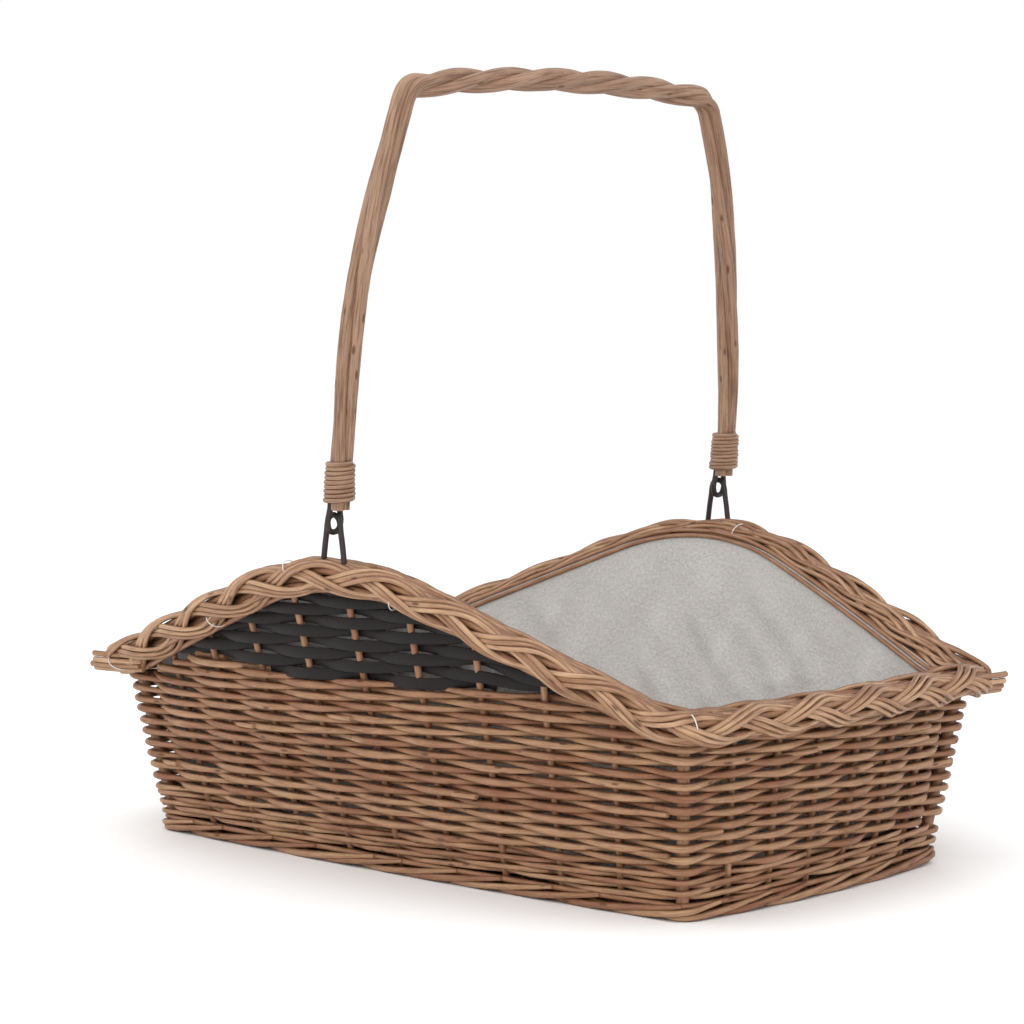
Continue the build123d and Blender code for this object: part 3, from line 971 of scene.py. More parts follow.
def make_uprights():
    rng = np.random.default_rng(31)
    bundle = Bundle()
    for turn, is_post in upright_turns():
        top = wall_point([turn], PEAK_Z, WALL / 2)[0]
        is_arched = turn % 2 < 1 and not is_post
        wall_top = float(arch_height(top[0], CORNER_Z, PEAK_Z)) if is_arched else CORNER_Z
        z = np.linspace(0.004, wall_top - 0.016, 14)
        points = wall_point(np.full(14, turn), z, WALL / 2)
        radius = POST_RADIUS if is_post else STAKE_RADIUS
        bundle.add(points, radius, tint=rng.uniform(0.2, 0.7), start=turn * 11)
    piece = swept_rods("stakes_and_posts", bundle, finish("steamed_brown_willow"), sides=10, seed=3.0)
    nodes = [f"stakes_{side}" for side in SIDES] + ["corner_posts"]
    set_down(piece, BASKET, "stake_willow", *nodes)


WALE_ROWS = 7


def make_wale():
    """Fine rods twined in threes: in front of two uprights and behind one."""
    settings = bpy.context.scene.basket_weave
    rng = np.random.default_rng(settings.seed + 40)
    bundle = Bundle()
    radius = settings.wale_diameter / 2
    turns = round_turns(8)
    position = turns / 4
    low = FOOT_TOP + radius + 0.0006
    pitch = (WALE_TOP - low - radius) / (WALE_ROWS - 1)
    for row in range(WALE_ROWS):
        phase = 2 * pi * (upright_count(turns) + row) / 3
        swing = 0.0048 + 0.0022 * corner_nearness(turns)
        wave = np.clip(0.35 + 1.3 * np.cos(phase), -1, 1)
        inset = WALL / 2 - swing * wave
        height = low + row * pitch + 0.0009 * np.sin(phase) + 0.0003 * slow_noise(rng, position, 3, 2, 12)
        bundle.add(
            wall_point(turns, height, inset),
            radius * (1 + 0.1 * slow_noise(rng, position, 3, 1, 9)),
            tint=rod_tints(rng, position, 0.2),
            closed=True,
            start=row * 5.1,
        )
    piece = swept_rods("wale_rods", bundle, finish("steamed_brown_willow"), sides=7, lump=0.0003, seed=5.0)
    set_down(piece, BASKET, "wall_willow", *[f"wale_{side}" for side in SIDES])


FOOT_RODS = 34


def make_foot_border():
    """Thick rods that each come out from under the base, lean up the outside and end cut off."""
    settings = bpy.context.scene.basket_weave
    rng = np.random.default_rng(settings.seed + 60)
    bundle = Bundle()
    radius = settings.foot_diameter / 2
    track = RimTrack(0.006, 0.0)
    spacing = track.length / FOOT_RODS
    for index in range(FOOT_RODS):
        start = index * spacing + rng.uniform(-0.010, 0.010)
        travel = np.array([-0.050, -0.034, -0.016, 0.006, 0.030, 0.056, 0.080])
        travel = travel * rng.uniform(0.9, 1.15)
        inset = np.array([0.016, 0.010, 0.0040, 0.0008, -0.0004, -0.0002, 0.0012])
        height = np.array([0.0085, 0.0050, 0.0030, 0.0028, 0.0045, 0.0076, 0.0108])
        path = smoothed(np.stack([travel, inset, height], axis=1), 5)
        points = wall_point(track.turn_at(start + path[:, 0]), path[:, 2], path[:, 1])
        taper = 1 - 0.35 * np.clip((path[:, 0] - 0.03) / 0.05, 0, 1)
        size = radius * rng.uniform(0.85, 1.08) * taper
        bundle.add(points, size, tint=rng.random(), start=index * 2.7)
    turns = round_turns(4)
    for inset, z in ((0.0135, 0.0035), (0.0085, 0.0092), (0.0030, 0.0105)):
        bundle.add(wall_point(turns, z, inset), radius * 0.8, tint=0.2, closed=True, start=inset * 900)
    piece = swept_rods("foot_border_rods", bundle, finish("steamed_brown_willow"), sides=9, seed=6.0)
    set_down(piece, BASKET, "foot_willow", *[f"foot_border_{side}" for side in SIDES])


def smoothed(points, cuts):
    """A smooth curve through the points, with this many steps to each span."""
    padded = np.concatenate([[2 * points[0] - points[1]], points, [2 * points[-1] - points[-2]]])
    t = np.linspace(0, 1, cuts, endpoint=False)[:, None]
    spans = []
    for a, b, c, d in zip(padded, padded[1:], padded[2:], padded[3:]):
        bend = (2 * a - 5 * b + 4 * c - d) * t**2
        turn = (3 * b - a - 3 * c + d) * t**3
        spans.append(0.5 * (2 * b + (c - a) * t + bend + turn))
    return np.concatenate(spans + [points[-1:]])


class RimTrack:
    """Distances once round the basket at a height over the wall, and the turns they fall at."""

    def __init__(self, inset, z, arched=False):
        fine = np.linspace(0, 4, 4001)
        points = wall_point(fine, z, inset, RIM_CORNER_RADIUS if arched else CORNER_RADIUS)
        if arched:
            points[:, 2] = rim_middle(points, fine)
        steps = np.linalg.norm(np.diff(points, axis=0), axis=1)
        self.distance = np.concatenate([[0], np.cumsum(steps)])
        self.turn = fine
        self.length = self.distance[-1]

    def turn_at(self, distance):
        return np.interp(np.mod(distance, self.length), self.distance, self.turn)


def rim_middle(points, turns):
    """The height of the rim border's middle over points of the wall."""
    is_long = np.floor(turns).astype(int) % 2 == 0
    middle = BORDER_HEIGHT / 2
    arched = arch_height(points[:, 0], CORNER_Z - middle, PEAK_Z - middle)
    return np.where(is_long, arched, CORNER_Z - middle)


def rim_points(track, distance, out, up):
    """Places in the rim border: out past the wall's outer face, and up square to the rim's run."""
    step = 0.002
    turn = track.turn_at(distance)
    ahead, behind = (wall_point(track.turn_at(distance + s), CORNER_Z, 0.0) for s in (step, -step))
    ahead[:, 2] = rim_middle(ahead, track.turn_at(distance + step))
    behind[:, 2] = rim_middle(behind, track.turn_at(distance - step))
    run = ahead - behind
    run = run / np.linalg.norm(run, axis=1, keepdims=True)
    flat = np.linalg.norm(run[:, :2], axis=1)
    reference = wall_point(turn, CORNER_Z, 0.0)
    height = rim_middle(reference, turn)
    points = wall_point(turn, height + up * flat, -out, RIM_CORNER_RADIUS)
    points[:, :2] -= run[:, :2] / flat[:, None] * (up * run[:, 2])[:, None]
    return points


def on_band(angle, depth, middle=(-0.003, 0.0), reach=(0.0150, 0.0127)):
    """Out and up of a place on the border's rounded section; depth is in towards its middle."""
    out = middle[0] + (reach[0] - depth) * np.cos(angle)
    up = middle[1] + (reach[1] - depth) * np.sin(angle)
    return out, up


def plait(bundle, rng, track, centre, swing, rods, pitch, length, layer, tint, phase=0.0):
    """Three strands of rods side by side, each crossing over and under the others."""
    turns_round = round(track.length / length)
    samples = int(track.length / 0.0045)
    distance = np.arange(samples) * track.length / samples
    girth = 0.0135
    for strand in range(3):
        angle = 2 * pi * (turns_round * distance / track.length + strand / 3) + phase
        straight = 0.92
        lateral = swing * np.arcsin(straight * np.sin(angle)) / np.arcsin(straight)
        slope = np.gradient(lateral, distance)
        for rod in range(rods):
            offset = (rod - (rods - 1) / 2) * pitch
            across = lateral + offset * np.sqrt(1 + slope**2)
            depth = layer * (1 - np.sin(2 * angle)) + 0.0003 * slow_noise(rng, distance, 3, 3, 20)
            out, up = on_band(centre + across / girth, depth)
            position = distance / track.length
            bundle.add(
                rim_points(track, distance, out, up),
                pitch * 0.455 * (1 + 0.05 * slow_noise(rng, position, 3, 4, 16)),
                tint=tint + 0.65 * rod_tints(rng, position, 1 / turns_round) - 0.1,
                closed=True,
                start=strand * 3.7 + rod * 1.3,
            )


# The rods that run straight inside the plait: each one's place out and up, and its radius.
CORE_RODS = (
    (-0.0090, -0.0030, 0.0036),
    (0.0000, -0.0020, 0.0040),
    (-0.0196, 0.0010, 0.0018),
    (-0.0188, 0.0050, 0.0017),
    (-0.0030, -0.0095, 0.0024),
    (-0.0045, 0.0040, 0.0040),
    (0.0045, -0.0060, 0.0030),
    (-0.0120, 0.0010, 0.0032),
    (0.0040, 0.0045, 0.0030),
    (-0.0055, 0.0086, 0.0022),
    (0.0000, 0.0082, 0.0020),
)
STUB_RADIUS = 0.0022        # cut rod ends that stand out at two corners
STUB_LENGTH = 0.05


def make_rim_plait():
    settings = bpy.context.scene.basket_border
    rng = np.random.default_rng(11)
    track = RimTrack(0.0, CORNER_Z, arched=True)
    diameter = settings.rod_diameter
    bundle = Bundle()
    plait(
        bundle, rng, track, radians(5), settings.plait_reach, 3, diameter, settings.plait_length, 0.0021, 0.3
    )
    piece = swept_rods("rim_plait", bundle, finish("buff_border_willow"), sides=9, seed=8.0)
    set_down(piece, BASKET, "border_willow", *[f"border_{side}" for side in SIDES])
    inner = Bundle()
    plait(inner, rng, track, radians(122), 0.0052, 2, diameter, settings.plait_length, 0.0016, 0.2, phase=1.0)
    samples = int(track.length / 0.006)
    distance = np.arange(samples) * track.length / samples
    for out, up, size in CORE_RODS:
        points = rim_points(track, distance, np.full(samples, out), np.full(samples, up))
        inner.add(points, size, tint=0.1, closed=True, start=out * 900)
    travel = np.linspace(-STUB_LENGTH, 0, 8)
    bend = 0.004 * (travel / STUB_LENGTH) ** 2
    for number, angle in enumerate(np.radians([-52, -30, -8, 16])):
        out, up = on_band(angle, 0.0018)
        z = CORNER_Z - BORDER_HEIGHT / 2 + up
        x = corner_x(CORNER_Z) + BORDER_OVERHANG + rng.uniform(0.001, 0.007) + travel
        y = corner_y(CORNER_Z) + out - bend
        points = np.stack([-x, -y, z + 0.5 * bend], axis=1)
        inner.add(points, STUB_RADIUS, tint=rng.random(), start=number)
        y = corner_y(CORNER_Z) + BORDER_OVERHANG + rng.uniform(0.001, 0.007) + travel
        x = corner_x(CORNER_Z) + out - bend
        points = np.stack([x, y, z + 0.5 * bend], axis=1)
        inner.add(points, STUB_RADIUS, tint=rng.random(), start=number + 9)
    piece = swept_rods("rim_inner_rods", inner, finish("buff_border_willow"), sides=8, seed=9.0)
    set_down(piece, BASKET, "border_willow")


THREAD_RADIUS = 0.0004
# Each thread's turn, and the angles on the border's section where it starts and ends.
THREADS = (
    (0.02, -60, 0),
    (0.26, -75, -25),
    (0.44, 20, 80),
    (0.60, -75, -20),
    (1.02, 10, 70),
    (2.45, 100, 160),
    (3.5, -30, 40),
)


def make_threads():
    """Short white stitches that tie the plait here and there."""
    rng = np.random.default_rng(17)
    track = RimTrack(0.0, CORNER_Z, arched=True)
    bundle = Bundle()
    share = np.linspace(0, 1, 9)
    depth = -0.0012 - 0.0012 * np.sin(pi * share) ** 2 + 0.002 * (2 * share - 1) ** 4
    for turn, low, high in THREADS:
        middle = np.interp(turn, track.turn, track.distance)
        out, up = on_band(np.radians(low + (high - low) * share), depth)
        distance = middle + rng.normal(0, 0.002) + 0.005 * (share - 0.5) * rng.uniform(-1, 1)
        bundle.add(rim_points(track, distance, out, up), THREAD_RADIUS)
    piece = swept_rods("sewing_thread_ties", bundle, finish("white_sewing_thread"), sides=5, lump=0.0)
    set_down(piece, BASKET, "cotton_lining")


BASE_STICKS = 7
BASE_STICK_RADIUS = 0.0036
CROSS_ROD_RADIUS = 0.0026
CROSS_ROD_PITCH = 0.0054


def make_base():
    """Lengthwise sticks with rods woven across them, closed up tight."""
    rng = np.random.default_rng(51)
    middle = (BASE_LOW + BASE_TOP) / 2
    half_width = corner_y(middle) - WALL - 0.0003
    inner_inset = WALL + 0.001
    sticks = Bundle()
    for index in range(BASE_STICKS):
        share = 2 * (index + 1) / (BASE_STICKS + 1) - 1
        y = share * half_width
        reach = corner_x(middle) - inner_inset + END_BULGE * (1 - share**2)
        x = np.linspace(-reach, reach, 24)
        points = np.stack([x, np.full(24, y), np.full(24, middle)], axis=1)
        sticks.add(points, BASE_STICK_RADIUS, tint=rng.random(), start=index)
    piece = swept_rods("base_stick_rods", sticks, finish("steamed_brown_willow"), sides=10, seed=12.0)
    set_down(piece, BASKET, "base_willow", "base_sticks")
    cross = Bundle()
    count = int(2 * (corner_x(middle) - inner_inset) / CROSS_ROD_PITCH)
    for index in range(count):
        x = (index + 0.5 - count / 2) * CROSS_ROD_PITCH
        share = x / corner_x(middle)
        reach = corner_y(middle) - inner_inset + SIDE_BULGE_FLOOR * (1 - share**2)
        y = np.linspace(-reach, reach, 57)
        spaces = (y / half_width + 1) * (BASE_STICKS + 1) / 2
        height = middle + 0.0040 * np.cos(pi * (spaces + index))
        cross.add(
            np.stack([x + 0.0003 * slow_noise(rng, y, 2, 6, 20), y, height], axis=1),
            CROSS_ROD_RADIUS * rng.uniform(0.92, 1.04),
            tint=rng.random(),
            start=index * 0.9,
        )
    piece = swept_rods("base_cross_rods", cross, finish("steamed_brown_willow"), sides=7, seed=13.0)
    set_down(piece, BASKET, "base_willow", "base_weave")


def cloth_grid(name, columns, rows, place, thickness=0.0009):
    """A sheet through the places given for each column and row, with the cut cloth's own UV."""
    across, up = np.meshgrid(columns, rows, indexing="ij")
    points = place(across, up)
    width, length = points.shape[:2]
    mesh = bpy.data.meshes.new(name)
    index = np.arange(width * length).reshape(width, length)
    faces = np.stack([index[:-1, :-1], index[1:, :-1], index[1:, 1:], index[:-1, 1:]], axis=-1)
    mesh.from_pydata(points.reshape(-1, 3).tolist(), [], faces.reshape(-1, 4).tolist())
    layer = mesh.uv_layers.new(name="cloth")
    flat_u = np.concatenate([[0], np.cumsum(np.linalg.norm(np.diff(points[:, length // 2], axis=0), axis=1))])
    flat_v = np.concatenate([[0], np.cumsum(np.linalg.norm(np.diff(points[width // 2], axis=0), axis=1))])
    grid_u, grid_v = np.meshgrid(flat_u, flat_v, indexing="ij")
    uv = np.stack([grid_u, grid_v], axis=-1).reshape(-1, 2)
    loops = np.zeros(len(mesh.loops), dtype=np.int64)
    mesh.loops.foreach_get("vertex_index", loops)
    layer.data.foreach_set("uv", uv[loops].astype(np.float32).ravel())
    mesh.shade_smooth()
    piece = bpy.data.objects.new(name, mesh)
    bpy.context.scene.collection.objects.link(piece)
    solid = piece.modifiers.new("Thickness", "SOLIDIFY")
    solid.thickness = thickness
    solid.offset = 0
    return piece, (float(flat_u[-1]), float(flat_v[-1]))


def wrinkles(u, v, seed, depth):
    """Soft folds that run mostly down the cloth, with a few slanting creases."""
    rng = np.random.default_rng(seed)
    total = np.zeros_like(u)
    for _ in range(7):
        lean = rng.normal(0, 0.5)
        rate = rng.uniform(14, 42)
        phase = 2 * pi * rate * (u * cos(lean) + v * sin(lean)) + 2 * pi * rng.random()
        total = total + np.sin(phase) / (rate / 20)
    for _ in range(6):
        lean = rng.uniform(0, pi)
        centre_u, centre_v = rng.uniform(u.min(), u.max()), rng.uniform(v.min(), v.max())
        across = (u - centre_u) * cos(lean) + (v - centre_v) * sin(lean)
        length = -(u - centre_u) * sin(lean) + (v - centre_v) * cos(lean)
        total = total + 1.8 * np.exp(-((across / 0.006) ** 2) - (length / 0.05) ** 2)
    return depth * total / 3


def make_lining():
    settings = bpy.context.scene.basket_lining
    cloth = finish("natural_cotton_lining")
    floor_z = BASE_TOP + 0.0015
    for side, name in enumerate(SIDES):
        length = 2 * (corner_x(0.1) if side % 2 == 0 else corner_y(0.1))
        columns = np.linspace(0.0, 1.0, int(length / settings.grid))
        rows = np.linspace(0.0, 1.0, int(0.17 / settings.grid))

        def place(across, up, side=side):
            turn = side + across * 0.9998 + 0.0001
            share = 2 * across - 1
            reference = wall_point(turn, 0.15, WALL)
            if side % 2 == 0:
                top = arch_height(reference[..., 0], CORNER_Z, PEAK_Z) - LINING_DROP
            else:
                top = np.full_like(turn, CORNER_Z - LINING_DROP)
            z = floor_z + up * (top - floor_z)
            ripple = wrinkles(across * length, z, 70 + side, settings.wrinkle)
            sides = np.clip(8 * (1 - np.abs(share)), 0, 1)
            ends = np.clip(6 * up, 0, 1) * np.clip(5 * (1 - up) - 0.4, 0, 1)
            inset = WALL + 0.0016 + np.clip(0.0012 + ripple * sides * ends, 0.0, 0.008)
            return wall_point(turn, z, inset)

        piece, flat = cloth_grid(f"cotton_lining_{name}", columns, rows, place)
        piece.data.materials.append(cloth)
        set_down(piece, BASKET, "cotton_lining", f"lining_{name}")

    def floor_place(across, up):
        share_x = 2 * across - 1
        share_y = 2 * up - 1
        half_x = corner_x(floor_z) - WALL - 0.003 + END_BULGE * (1 - share_y**2)
        half_y = corner_y(floor_z) - WALL - 0.003 + side_bulge(floor_z) * (1 - share_x**2)
        ripple = wrinkles(across * 0.5, up * 0.28, 90, settings.wrinkle)
        edge = np.clip(10 * (1 - np.maximum(np.abs(share_x), np.abs(share_y))), 0, 1)
        z = floor_z + 0.0003 + np.clip(ripple * edge, 0, 0.004)
        return np.stack([share_x * half_x, share_y * half_y, z], axis=-1)

    columns = np.linspace(0, 1, 100)
    rows = np.linspace(0, 1, 56)
    piece, flat = cloth_grid("cotton_lining_floor", columns, rows, floor_place)
    piece.data.materials.append(cloth)
    set_down(piece, BASKET, "cotton_lining", "lining_floor")


# --- The handle ---

HANDLE_LEAN = radians(4)
HANDLE_TOP_WIDTH = 0.344
GRIP_RADIUS = 1.5
HANDLE_BEND_RADIUS = 0.018
OVERALL_HEIGHT = 0.580
ROD_FOOT_RISE = 0.0164      # from the pivot to the ends of the rods
BINDING_RISE = 0.020        # from the pivot to the bottom of the binding
BINDING_HEIGHT = 0.032
BINDING_RADIUS = 0.0097
ROD_OFFSET = 0.0044         # from the bundle's centre to each drawn rod's
WIRE_DIAMETER = 0.0042

# The plain CAD rods lie this way round the wire, which sets the bundle's place and the grip's.
CAD_ROD_DIAMETER = 0.0082
CAD_ROD_GAP = 0.0003
CAD_ROD_SPACING = CAD_ROD_DIAMETER + CAD_ROD_GAP
CAD_ROD_OFFSET = CAD_ROD_SPACING / sqrt(3)
WIRE_CLEARANCE = (CAD_ROD_DIAMETER + WIRE_DIAMETER) / 2 + CAD_ROD_GAP
GROOVE_DEPTH = sqrt(WIRE_CLEARANCE**2 - (CAD_ROD_SPACING / 2) ** 2) + CAD_ROD_OFFSET / 2
BUNDLE_X = round(GROOVE_DEPTH * cos(radians(60)), 6)
TOP_ROD_RISE = OVERALL_HEIGHT - CAD_ROD_DIAMETER / 2 - PIVOT_Z
GRIP_RISE = (TOP_ROD_RISE + (BUNDLE_X + CAD_ROD_OFFSET / 2) * sin(HANDLE_LEAN)) / cos(HANDLE_LEAN)
GRIP_Z = round(PIVOT_Z + GRIP_RISE - CAD_ROD_SPACING / 2, 5)


def arc(centre, radius, start, end, step=0.003):
    count = max(4, int(abs(end - start) * radius / step))
    angle = np.linspace(start, end, count)
    return np.stack([centre[0] + radius * np.cos(angle), centre[1] + radius * np.sin(angle)], axis=1)


def handle_line():
    """The handle's centre line in its own plane, from the front foot to the back foot."""
    foot_z = PIVOT_Z + ROD_FOOT_RISE
    knee_z = PIVOT_Z + BINDING_RISE + BINDING_HEIGHT
    bend_y = HANDLE_TOP_WIDTH / 2 - HANDLE_BEND_RADIUS
    grip_centre = GRIP_Z - GRIP_RADIUS
    bend_z = grip_centre + sqrt((GRIP_RADIUS - HANDLE_BEND_RADIUS) ** 2 - bend_y**2)
    inward = LINK_Y - bend_y
    height = bend_z - knee_z
    leg_radius = (inward**2 + height**2 - HANDLE_BEND_RADIUS**2) / (2 * (inward - HANDLE_BEND_RADIUS))
    leg_centre = LINK_Y - leg_radius
    leg_turn = atan2(height, bend_y - leg_centre)
    grip_turn = atan2(bend_y, bend_z - grip_centre)
    straight = np.stack([np.full(14, LINK_Y), np.linspace(foot_z, knee_z, 14)], axis=1)
    leg = arc((leg_centre, knee_z), leg_radius, 0, leg_turn)
    bend = arc((bend_y, bend_z), HANDLE_BEND_RADIUS, leg_turn, radians(90) - grip_turn, step=0.002)
    grip = arc((0, grip_centre), GRIP_RADIUS, radians(90) - grip_turn, radians(90))
    half = np.concatenate([straight, leg[1:], bend[1:], grip[1:]])
    other = half[::-1][1:] * np.array([-1, 1])
    line = np.concatenate([half, other])
    line[:, 0] *= -1
    return line, len(straight) + len(leg) - 1


def leaned(points):
    """Tip points of the upright handle to the way the handle stands."""
    x = points[:, 0]
    z = points[:, 2] - PIVOT_Z
    across = x * cos(HANDLE_LEAN) + z * sin(HANDLE_LEAN)
    up = z * cos(HANDLE_LEAN) - x * sin(HANDLE_LEAN)
    return np.stack([across, points[:, 1], PIVOT_Z + up], axis=1)


def make_handle_rods():
    settings = bpy.context.scene.basket_handle
    line, knee = handle_line()
    steps = np.linalg.norm(np.diff(line, axis=0), axis=1)
    distance = np.concatenate([[0], np.cumsum(steps)])
    total = distance[-1]
    run = np.gradient(line, distance, axis=0)
    run = run / np.linalg.norm(run, axis=1, keepdims=True)
    side = np.stack([-run[:, 1], run[:, 0]], axis=1)
    leg_start = BINDING_RISE - ROD_FOOT_RISE + BINDING_HEIGHT
    leg_end = distance[knee]
    marks = [0, leg_start, leg_end, total - leg_end, total - leg_start, total]
    leg_turns = settings.leg_turns
    turned = [0, 0, leg_turns, leg_turns + settings.grip_turns, 2 * leg_turns + settings.grip_turns]
    twist = 2 * pi * np.interp(distance, marks, [*turned, turned[-1]])
    for number in range(3):
        rng = np.random.default_rng(80 + number)
        angle = twist + pi + number * 2 * pi / 3
        gathered = 1 - 0.13 * np.clip(1 - np.minimum(distance, total - distance) / 0.10, 0, 1)
        spread = ROD_OFFSET * gathered * (1 + 0.05 * slow_noise(rng, distance / total, 3, 2, 7))
        offset = spread * np.sin(angle)
        x = BUNDLE_X + spread * np.cos(angle)
        flat = line + side * offset[:, None]
        points = leaned(np.stack([x, flat[:, 0], flat[:, 1]], axis=1))
        bundle = Bundle()
        unevenness = 1 + 0.05 * slow_noise(rng, distance / total, 3, 2, 9)
        radius = settings.rod_diameter / 2 * gathered * unevenness
        bundle.add(points, radius, tint=(0.35, 0.75, 0.55)[number], start=number * 2.2)
        piece = swept_rods(
            f"twisted_handle_rod_{number + 1}",
            bundle,
            finish("peeled_handle_willow"),
            sides=16,
            lump=0.0008,
            lumps_per_metre=45.0,
            seed=20.0 + number,
        )
        set_down(piece, HANDLE, "peeled_willow_handle", f"handle_rod_{number + 1}")


def make_bindings():
    """Split willow wound tightly round each foot of the handle, its ends tucked in."""
    settings = bpy.context.scene.basket_handle
    thickness = settings.skein_width / 2
    for sign, name, turns in ((-1, "front", 9), (1, "back", 10)):
        rng = np.random.default_rng(90 + turns)
        share = np.linspace(0, 1, turns * 24)
        angle = 2 * pi * turns * share + 1.2
        radius = BINDING_RADIUS - 0.0007 * share + 0.0003 * slow_noise(rng, share, 4, 3, 20)
        tucked = 0.003 * (np.clip(1 - 40 * share, 0, 1) + np.clip(1 - 40 * (1 - share), 0, 1))
        low = PIVOT_Z + BINDING_RISE + thickness
        z = low + (BINDING_HEIGHT - 2 * thickness) * share + 0.0005 * np.sin(angle + 0.6)
        facing = np.stack([np.cos(angle), np.sin(angle), np.zeros_like(angle)], axis=1)
        points = np.array([BUNDLE_X, sign * LINK_Y, 0.0]) + facing * (radius - tucked)[:, None]
        points[:, 2] = z
        bundle = Bundle()
        size = thickness * (1 + 0.06 * slow_noise(rng, share, 4, 3, 20))
        bundle.add(leaned(points), size, tint=0.4 + 0.4 * rod_tints(rng, share, 0.11))
        skein = finish("split_willow_skein")
        piece = swept_rods(f"skein_binding_{name}", bundle, skein, sides=8, seed=30.0 + turns)
        set_down(piece, HANDLE, "split_willow_binding", f"handle_binding_{name}")


def make_links():
    """Bent wire: a hoop that stands on the rim, and an eye that hangs from the handle in it."""
    wire = finish("blackened_steel_wire")
    radius = WIRE_DIAMETER / 2
    hoop = np.array([(-11, -30), (-10, -20), (-8.4, -8), (-7, 0), (-6.3, 5.5), (-4.5, 10), (0, 12.1)]) / 1000
    eye = np.array([(-4.4, 44), (-4.5, 20), (-5.4, 13), (-6.4, 7.4), (-4.6, 1.8), (0, 0)]) / 1000
    for sign, name in ((-1, "front"), (1, "back")):
        for body, label, shape in ((BASKET, "rim", hoop), (HANDLE, "handle", eye)):
            path = smoothed(np.concatenate([shape, shape[-2::-1] * np.array([-1, 1])]), 6)
            flat = np.zeros(len(path))
            z = PIVOT_Z + path[:, 1]
            if body == BASKET:
                points = np.stack([path[:, 0], flat + sign * LINK_Y, z], axis=1)
            else:
                points = leaned(np.stack([flat, sign * LINK_Y + path[:, 0], z], axis=1))
            bundle = Bundle()
            bundle.add(points, radius)
            piece = swept_rods(f"{label}_wire_{name}", bundle, wire, sides=14, lump=0.0001)
            set_down(piece, body, "blackened_wire", f"{label}_loop_{name}")


# --- The stage ---


def make_stage():
    scene = bpy.context.scene
    mesh = bpy.data.meshes.new("studio_floor")
    size = 6.0
    corners = [(-size, -size, 0), (size, -size, 0), (size, size, 0), (-size, size, 0)]
    mesh.from_pydata(corners, [], [(0, 1, 2, 3)])
    floor = bpy.data.objects.new("studio_floor", mesh)
    scene.collection.objects.link(floor)
    material, _, shader = new_material("matt_white_paper")
    shader.inputs["Base Color"].default_value = linear("#ffffff")
    shader.inputs["Roughness"].default_value = 0.9
    mesh.materials.append(material)
    world = bpy.data.worlds.new("soft_white_surround")
    world.use_nodes = True
    background = world.node_tree.nodes["Background"]
    background.inputs["Color"].default_value = (1, 1, 1, 1)
    background.inputs["Strength"].default_value = 1.0
    scene.world = world
    scene.view_settings.view_transform = "Standard"
    for name, place, energy, width in (
        ("overhead_soft_box", (0.3, -0.6, 2.6), 22.0, 2.2),
        ("front_soft_box", (2.0, -2.6, 1.6), 16.0, 1.6),
        ("left_soft_box", (-2.4, -1.6, 1.8), 8.0, 1.6),
    ):
        lamp = bpy.data.lights.new(name, "AREA")
        lamp.energy = energy
        lamp.size = width
        lit = bpy.data.objects.new(name, lamp)
        lit.location = place
        aim = Vector((0, 0, 0.2)) - Vector(place)
        lit.rotation_mode = "QUATERNION"
        lit.rotation_quaternion = aim.to_track_quat("-Z", "Y")
        scene.collection.objects.link(lit)


def make_camera():
    scene = bpy.context.scene
    data = bpy.data.cameras.new("view_from_the_right")
    data.lens = 115.4
    camera = bpy.data.objects.new("view_from_the_right", data)
    camera.location = (1.626, -1.829, 0.4635)
    camera.rotation_euler = (radians(90 - 4.94), 0, radians(42.1))
    scene.collection.objects.link(camera)
    scene.camera = camera


# --- Operators and panel ---


class BASKET_OT_camera(bpy.types.Operator):
    """Set up the camera"""

    bl_idname = "log_basket.camera"
    bl_label = "Camera"

    def execute(self, context):
        make_camera()
        return {"FINISHED"}


class BASKET_OT_stage(bpy.types.Operator):
    """Lay the floor and set the soft lights"""

    bl_idname = "log_basket.stage"
    bl_label = "Stage"

    def execute(self, context):
        make_stage()
        return {"FINISHED"}


class BASKET_OT_brown_weave(bpy.types.Operator):
    """Weave the brown rods round the uprights"""

    bl_idname = "log_basket.brown_weave"
    bl_label = "Brown Weave"

    def execute(self, context):
        make_brown_weave()
        return {"FINISHED"}


class BASKET_OT_dark_strips(bpy.types.Operator):
    """Weave the dark strips under the arches"""

    bl_idname = "log_basket.dark_strips"
    bl_label = "Dark Strips"

    def execute(self, context):
        make_dark_strips()
        return {"FINISHED"}


class BASKET_OT_uprights(bpy.types.Operator):
    """Set the stakes and corner posts"""

    bl_idname = "log_basket.uprights"
    bl_label = "Uprights"

    def execute(self, context):
        make_uprights()
        return {"FINISHED"}


class BASKET_OT_wale(bpy.types.Operator):
    """Twine the fine rods over the foot"""

    bl_idname = "log_basket.wale"
    bl_label = "Wale"

    def execute(self, context):
        make_wale()
        return {"FINISHED"}


class BASKET_OT_foot_border(bpy.types.Operator):
    """Lay the thick rods of the foot"""

    bl_idname = "log_basket.foot_border"
    bl_label = "Foot Border"

    def execute(self, context):
        make_foot_border()
        return {"FINISHED"}


class BASKET_OT_rim_plait(bpy.types.Operator):
    """Plait the rim border"""

    bl_idname = "log_basket.rim_plait"
    bl_label = "Rim Plait"

    def execute(self, context):
        make_rim_plait()
        return {"FINISHED"}


class BASKET_OT_threads(bpy.types.Operator):
    """Tie the white stitches round the rim"""

    bl_idname = "log_basket.threads"
    bl_label = "Threads"

    def execute(self, context):
        make_threads()
        return {"FINISHED"}


class BASKET_OT_base(bpy.types.Operator):
    """Weave the base"""

    bl_idname = "log_basket.base"
    bl_label = "Base"

    def execute(self, context):
        make_base()
        return {"FINISHED"}


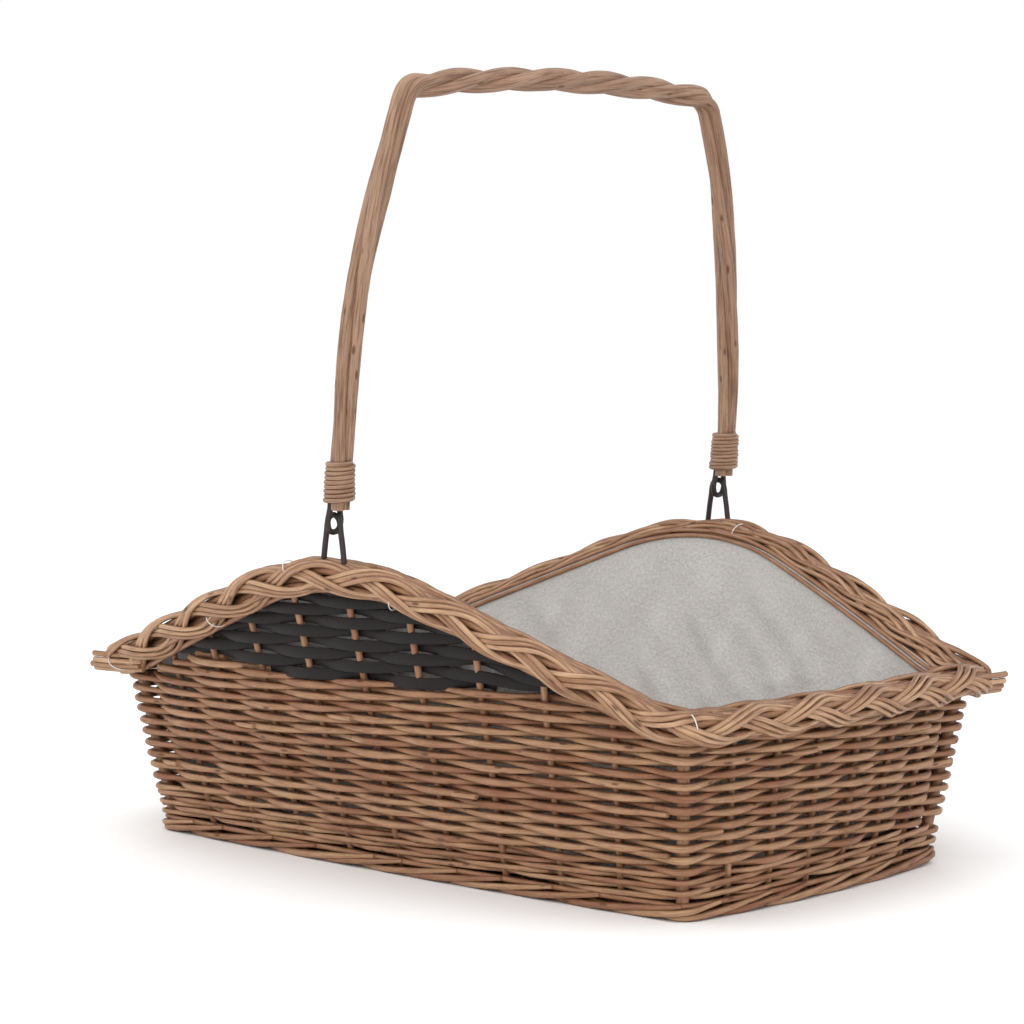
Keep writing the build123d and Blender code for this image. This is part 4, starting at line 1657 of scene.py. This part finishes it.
class BASKET_OT_lining(bpy.types.Operator):
    """Hang the cotton lining"""

    bl_idname = "log_basket.lining"
    bl_label = "Lining"

    def execute(self, context):
        make_lining()
        return {"FINISHED"}


class BASKET_OT_handle_rods(bpy.types.Operator):
    """Twist the three handle rods"""

    bl_idname = "log_basket.handle_rods"
    bl_label = "Handle Rods"

    def execute(self, context):
        make_handle_rods()
        return {"FINISHED"}


class BASKET_OT_bindings(bpy.types.Operator):
    """Wind the split willow bindings"""

    bl_idname = "log_basket.bindings"
    bl_label = "Bindings"

    def execute(self, context):
        make_bindings()
        return {"FINISHED"}


class BASKET_OT_links(bpy.types.Operator):
    """Bend the wire hoops and the eyes that hang in them"""

    bl_idname = "log_basket.links"
    bl_label = "Links"

    def execute(self, context):
        make_links()
        return {"FINISHED"}


STEPS = (
    BASKET_OT_camera,
    BASKET_OT_stage,
    BASKET_OT_brown_weave,
    BASKET_OT_dark_strips,
    BASKET_OT_uprights,
    BASKET_OT_wale,
    BASKET_OT_foot_border,
    BASKET_OT_rim_plait,
    BASKET_OT_threads,
    BASKET_OT_base,
    BASKET_OT_lining,
    BASKET_OT_handle_rods,
    BASKET_OT_bindings,
    BASKET_OT_links,
)


class BASKET_PT_panel(bpy.types.Panel):
    bl_label = "Log Basket"
    bl_idname = "BASKET_PT_panel"
    bl_space_type = "VIEW_3D"
    bl_region_type = "UI"
    bl_category = "Basket"

    def draw(self, context):
        for step in STEPS:
            self.layout.operator(step.bl_idname)


SETTINGS = {
    "basket_weave": WeaveSettings,
    "basket_border": BorderSettings,
    "basket_lining": LiningSettings,
    "basket_handle": HandleSettings,
    "basket_finish": FinishSettings,
}


def register():
    for group in (*SETTINGS.values(), *STEPS, BASKET_PT_panel):
        bpy.utils.register_class(group)
    for name, group in SETTINGS.items():
        setattr(bpy.types.Scene, name, PointerProperty(type=group))


def unregister():
    for name in SETTINGS:
        delattr(bpy.types.Scene, name)
    for group in reversed((*SETTINGS.values(), *STEPS, BASKET_PT_panel)):
        bpy.utils.unregister_class(group)


def main():
    register()
    for step in STEPS:
        getattr(bpy.ops.log_basket, step.bl_idname.split(".")[1])()


if __name__ == "__main__":
    main()
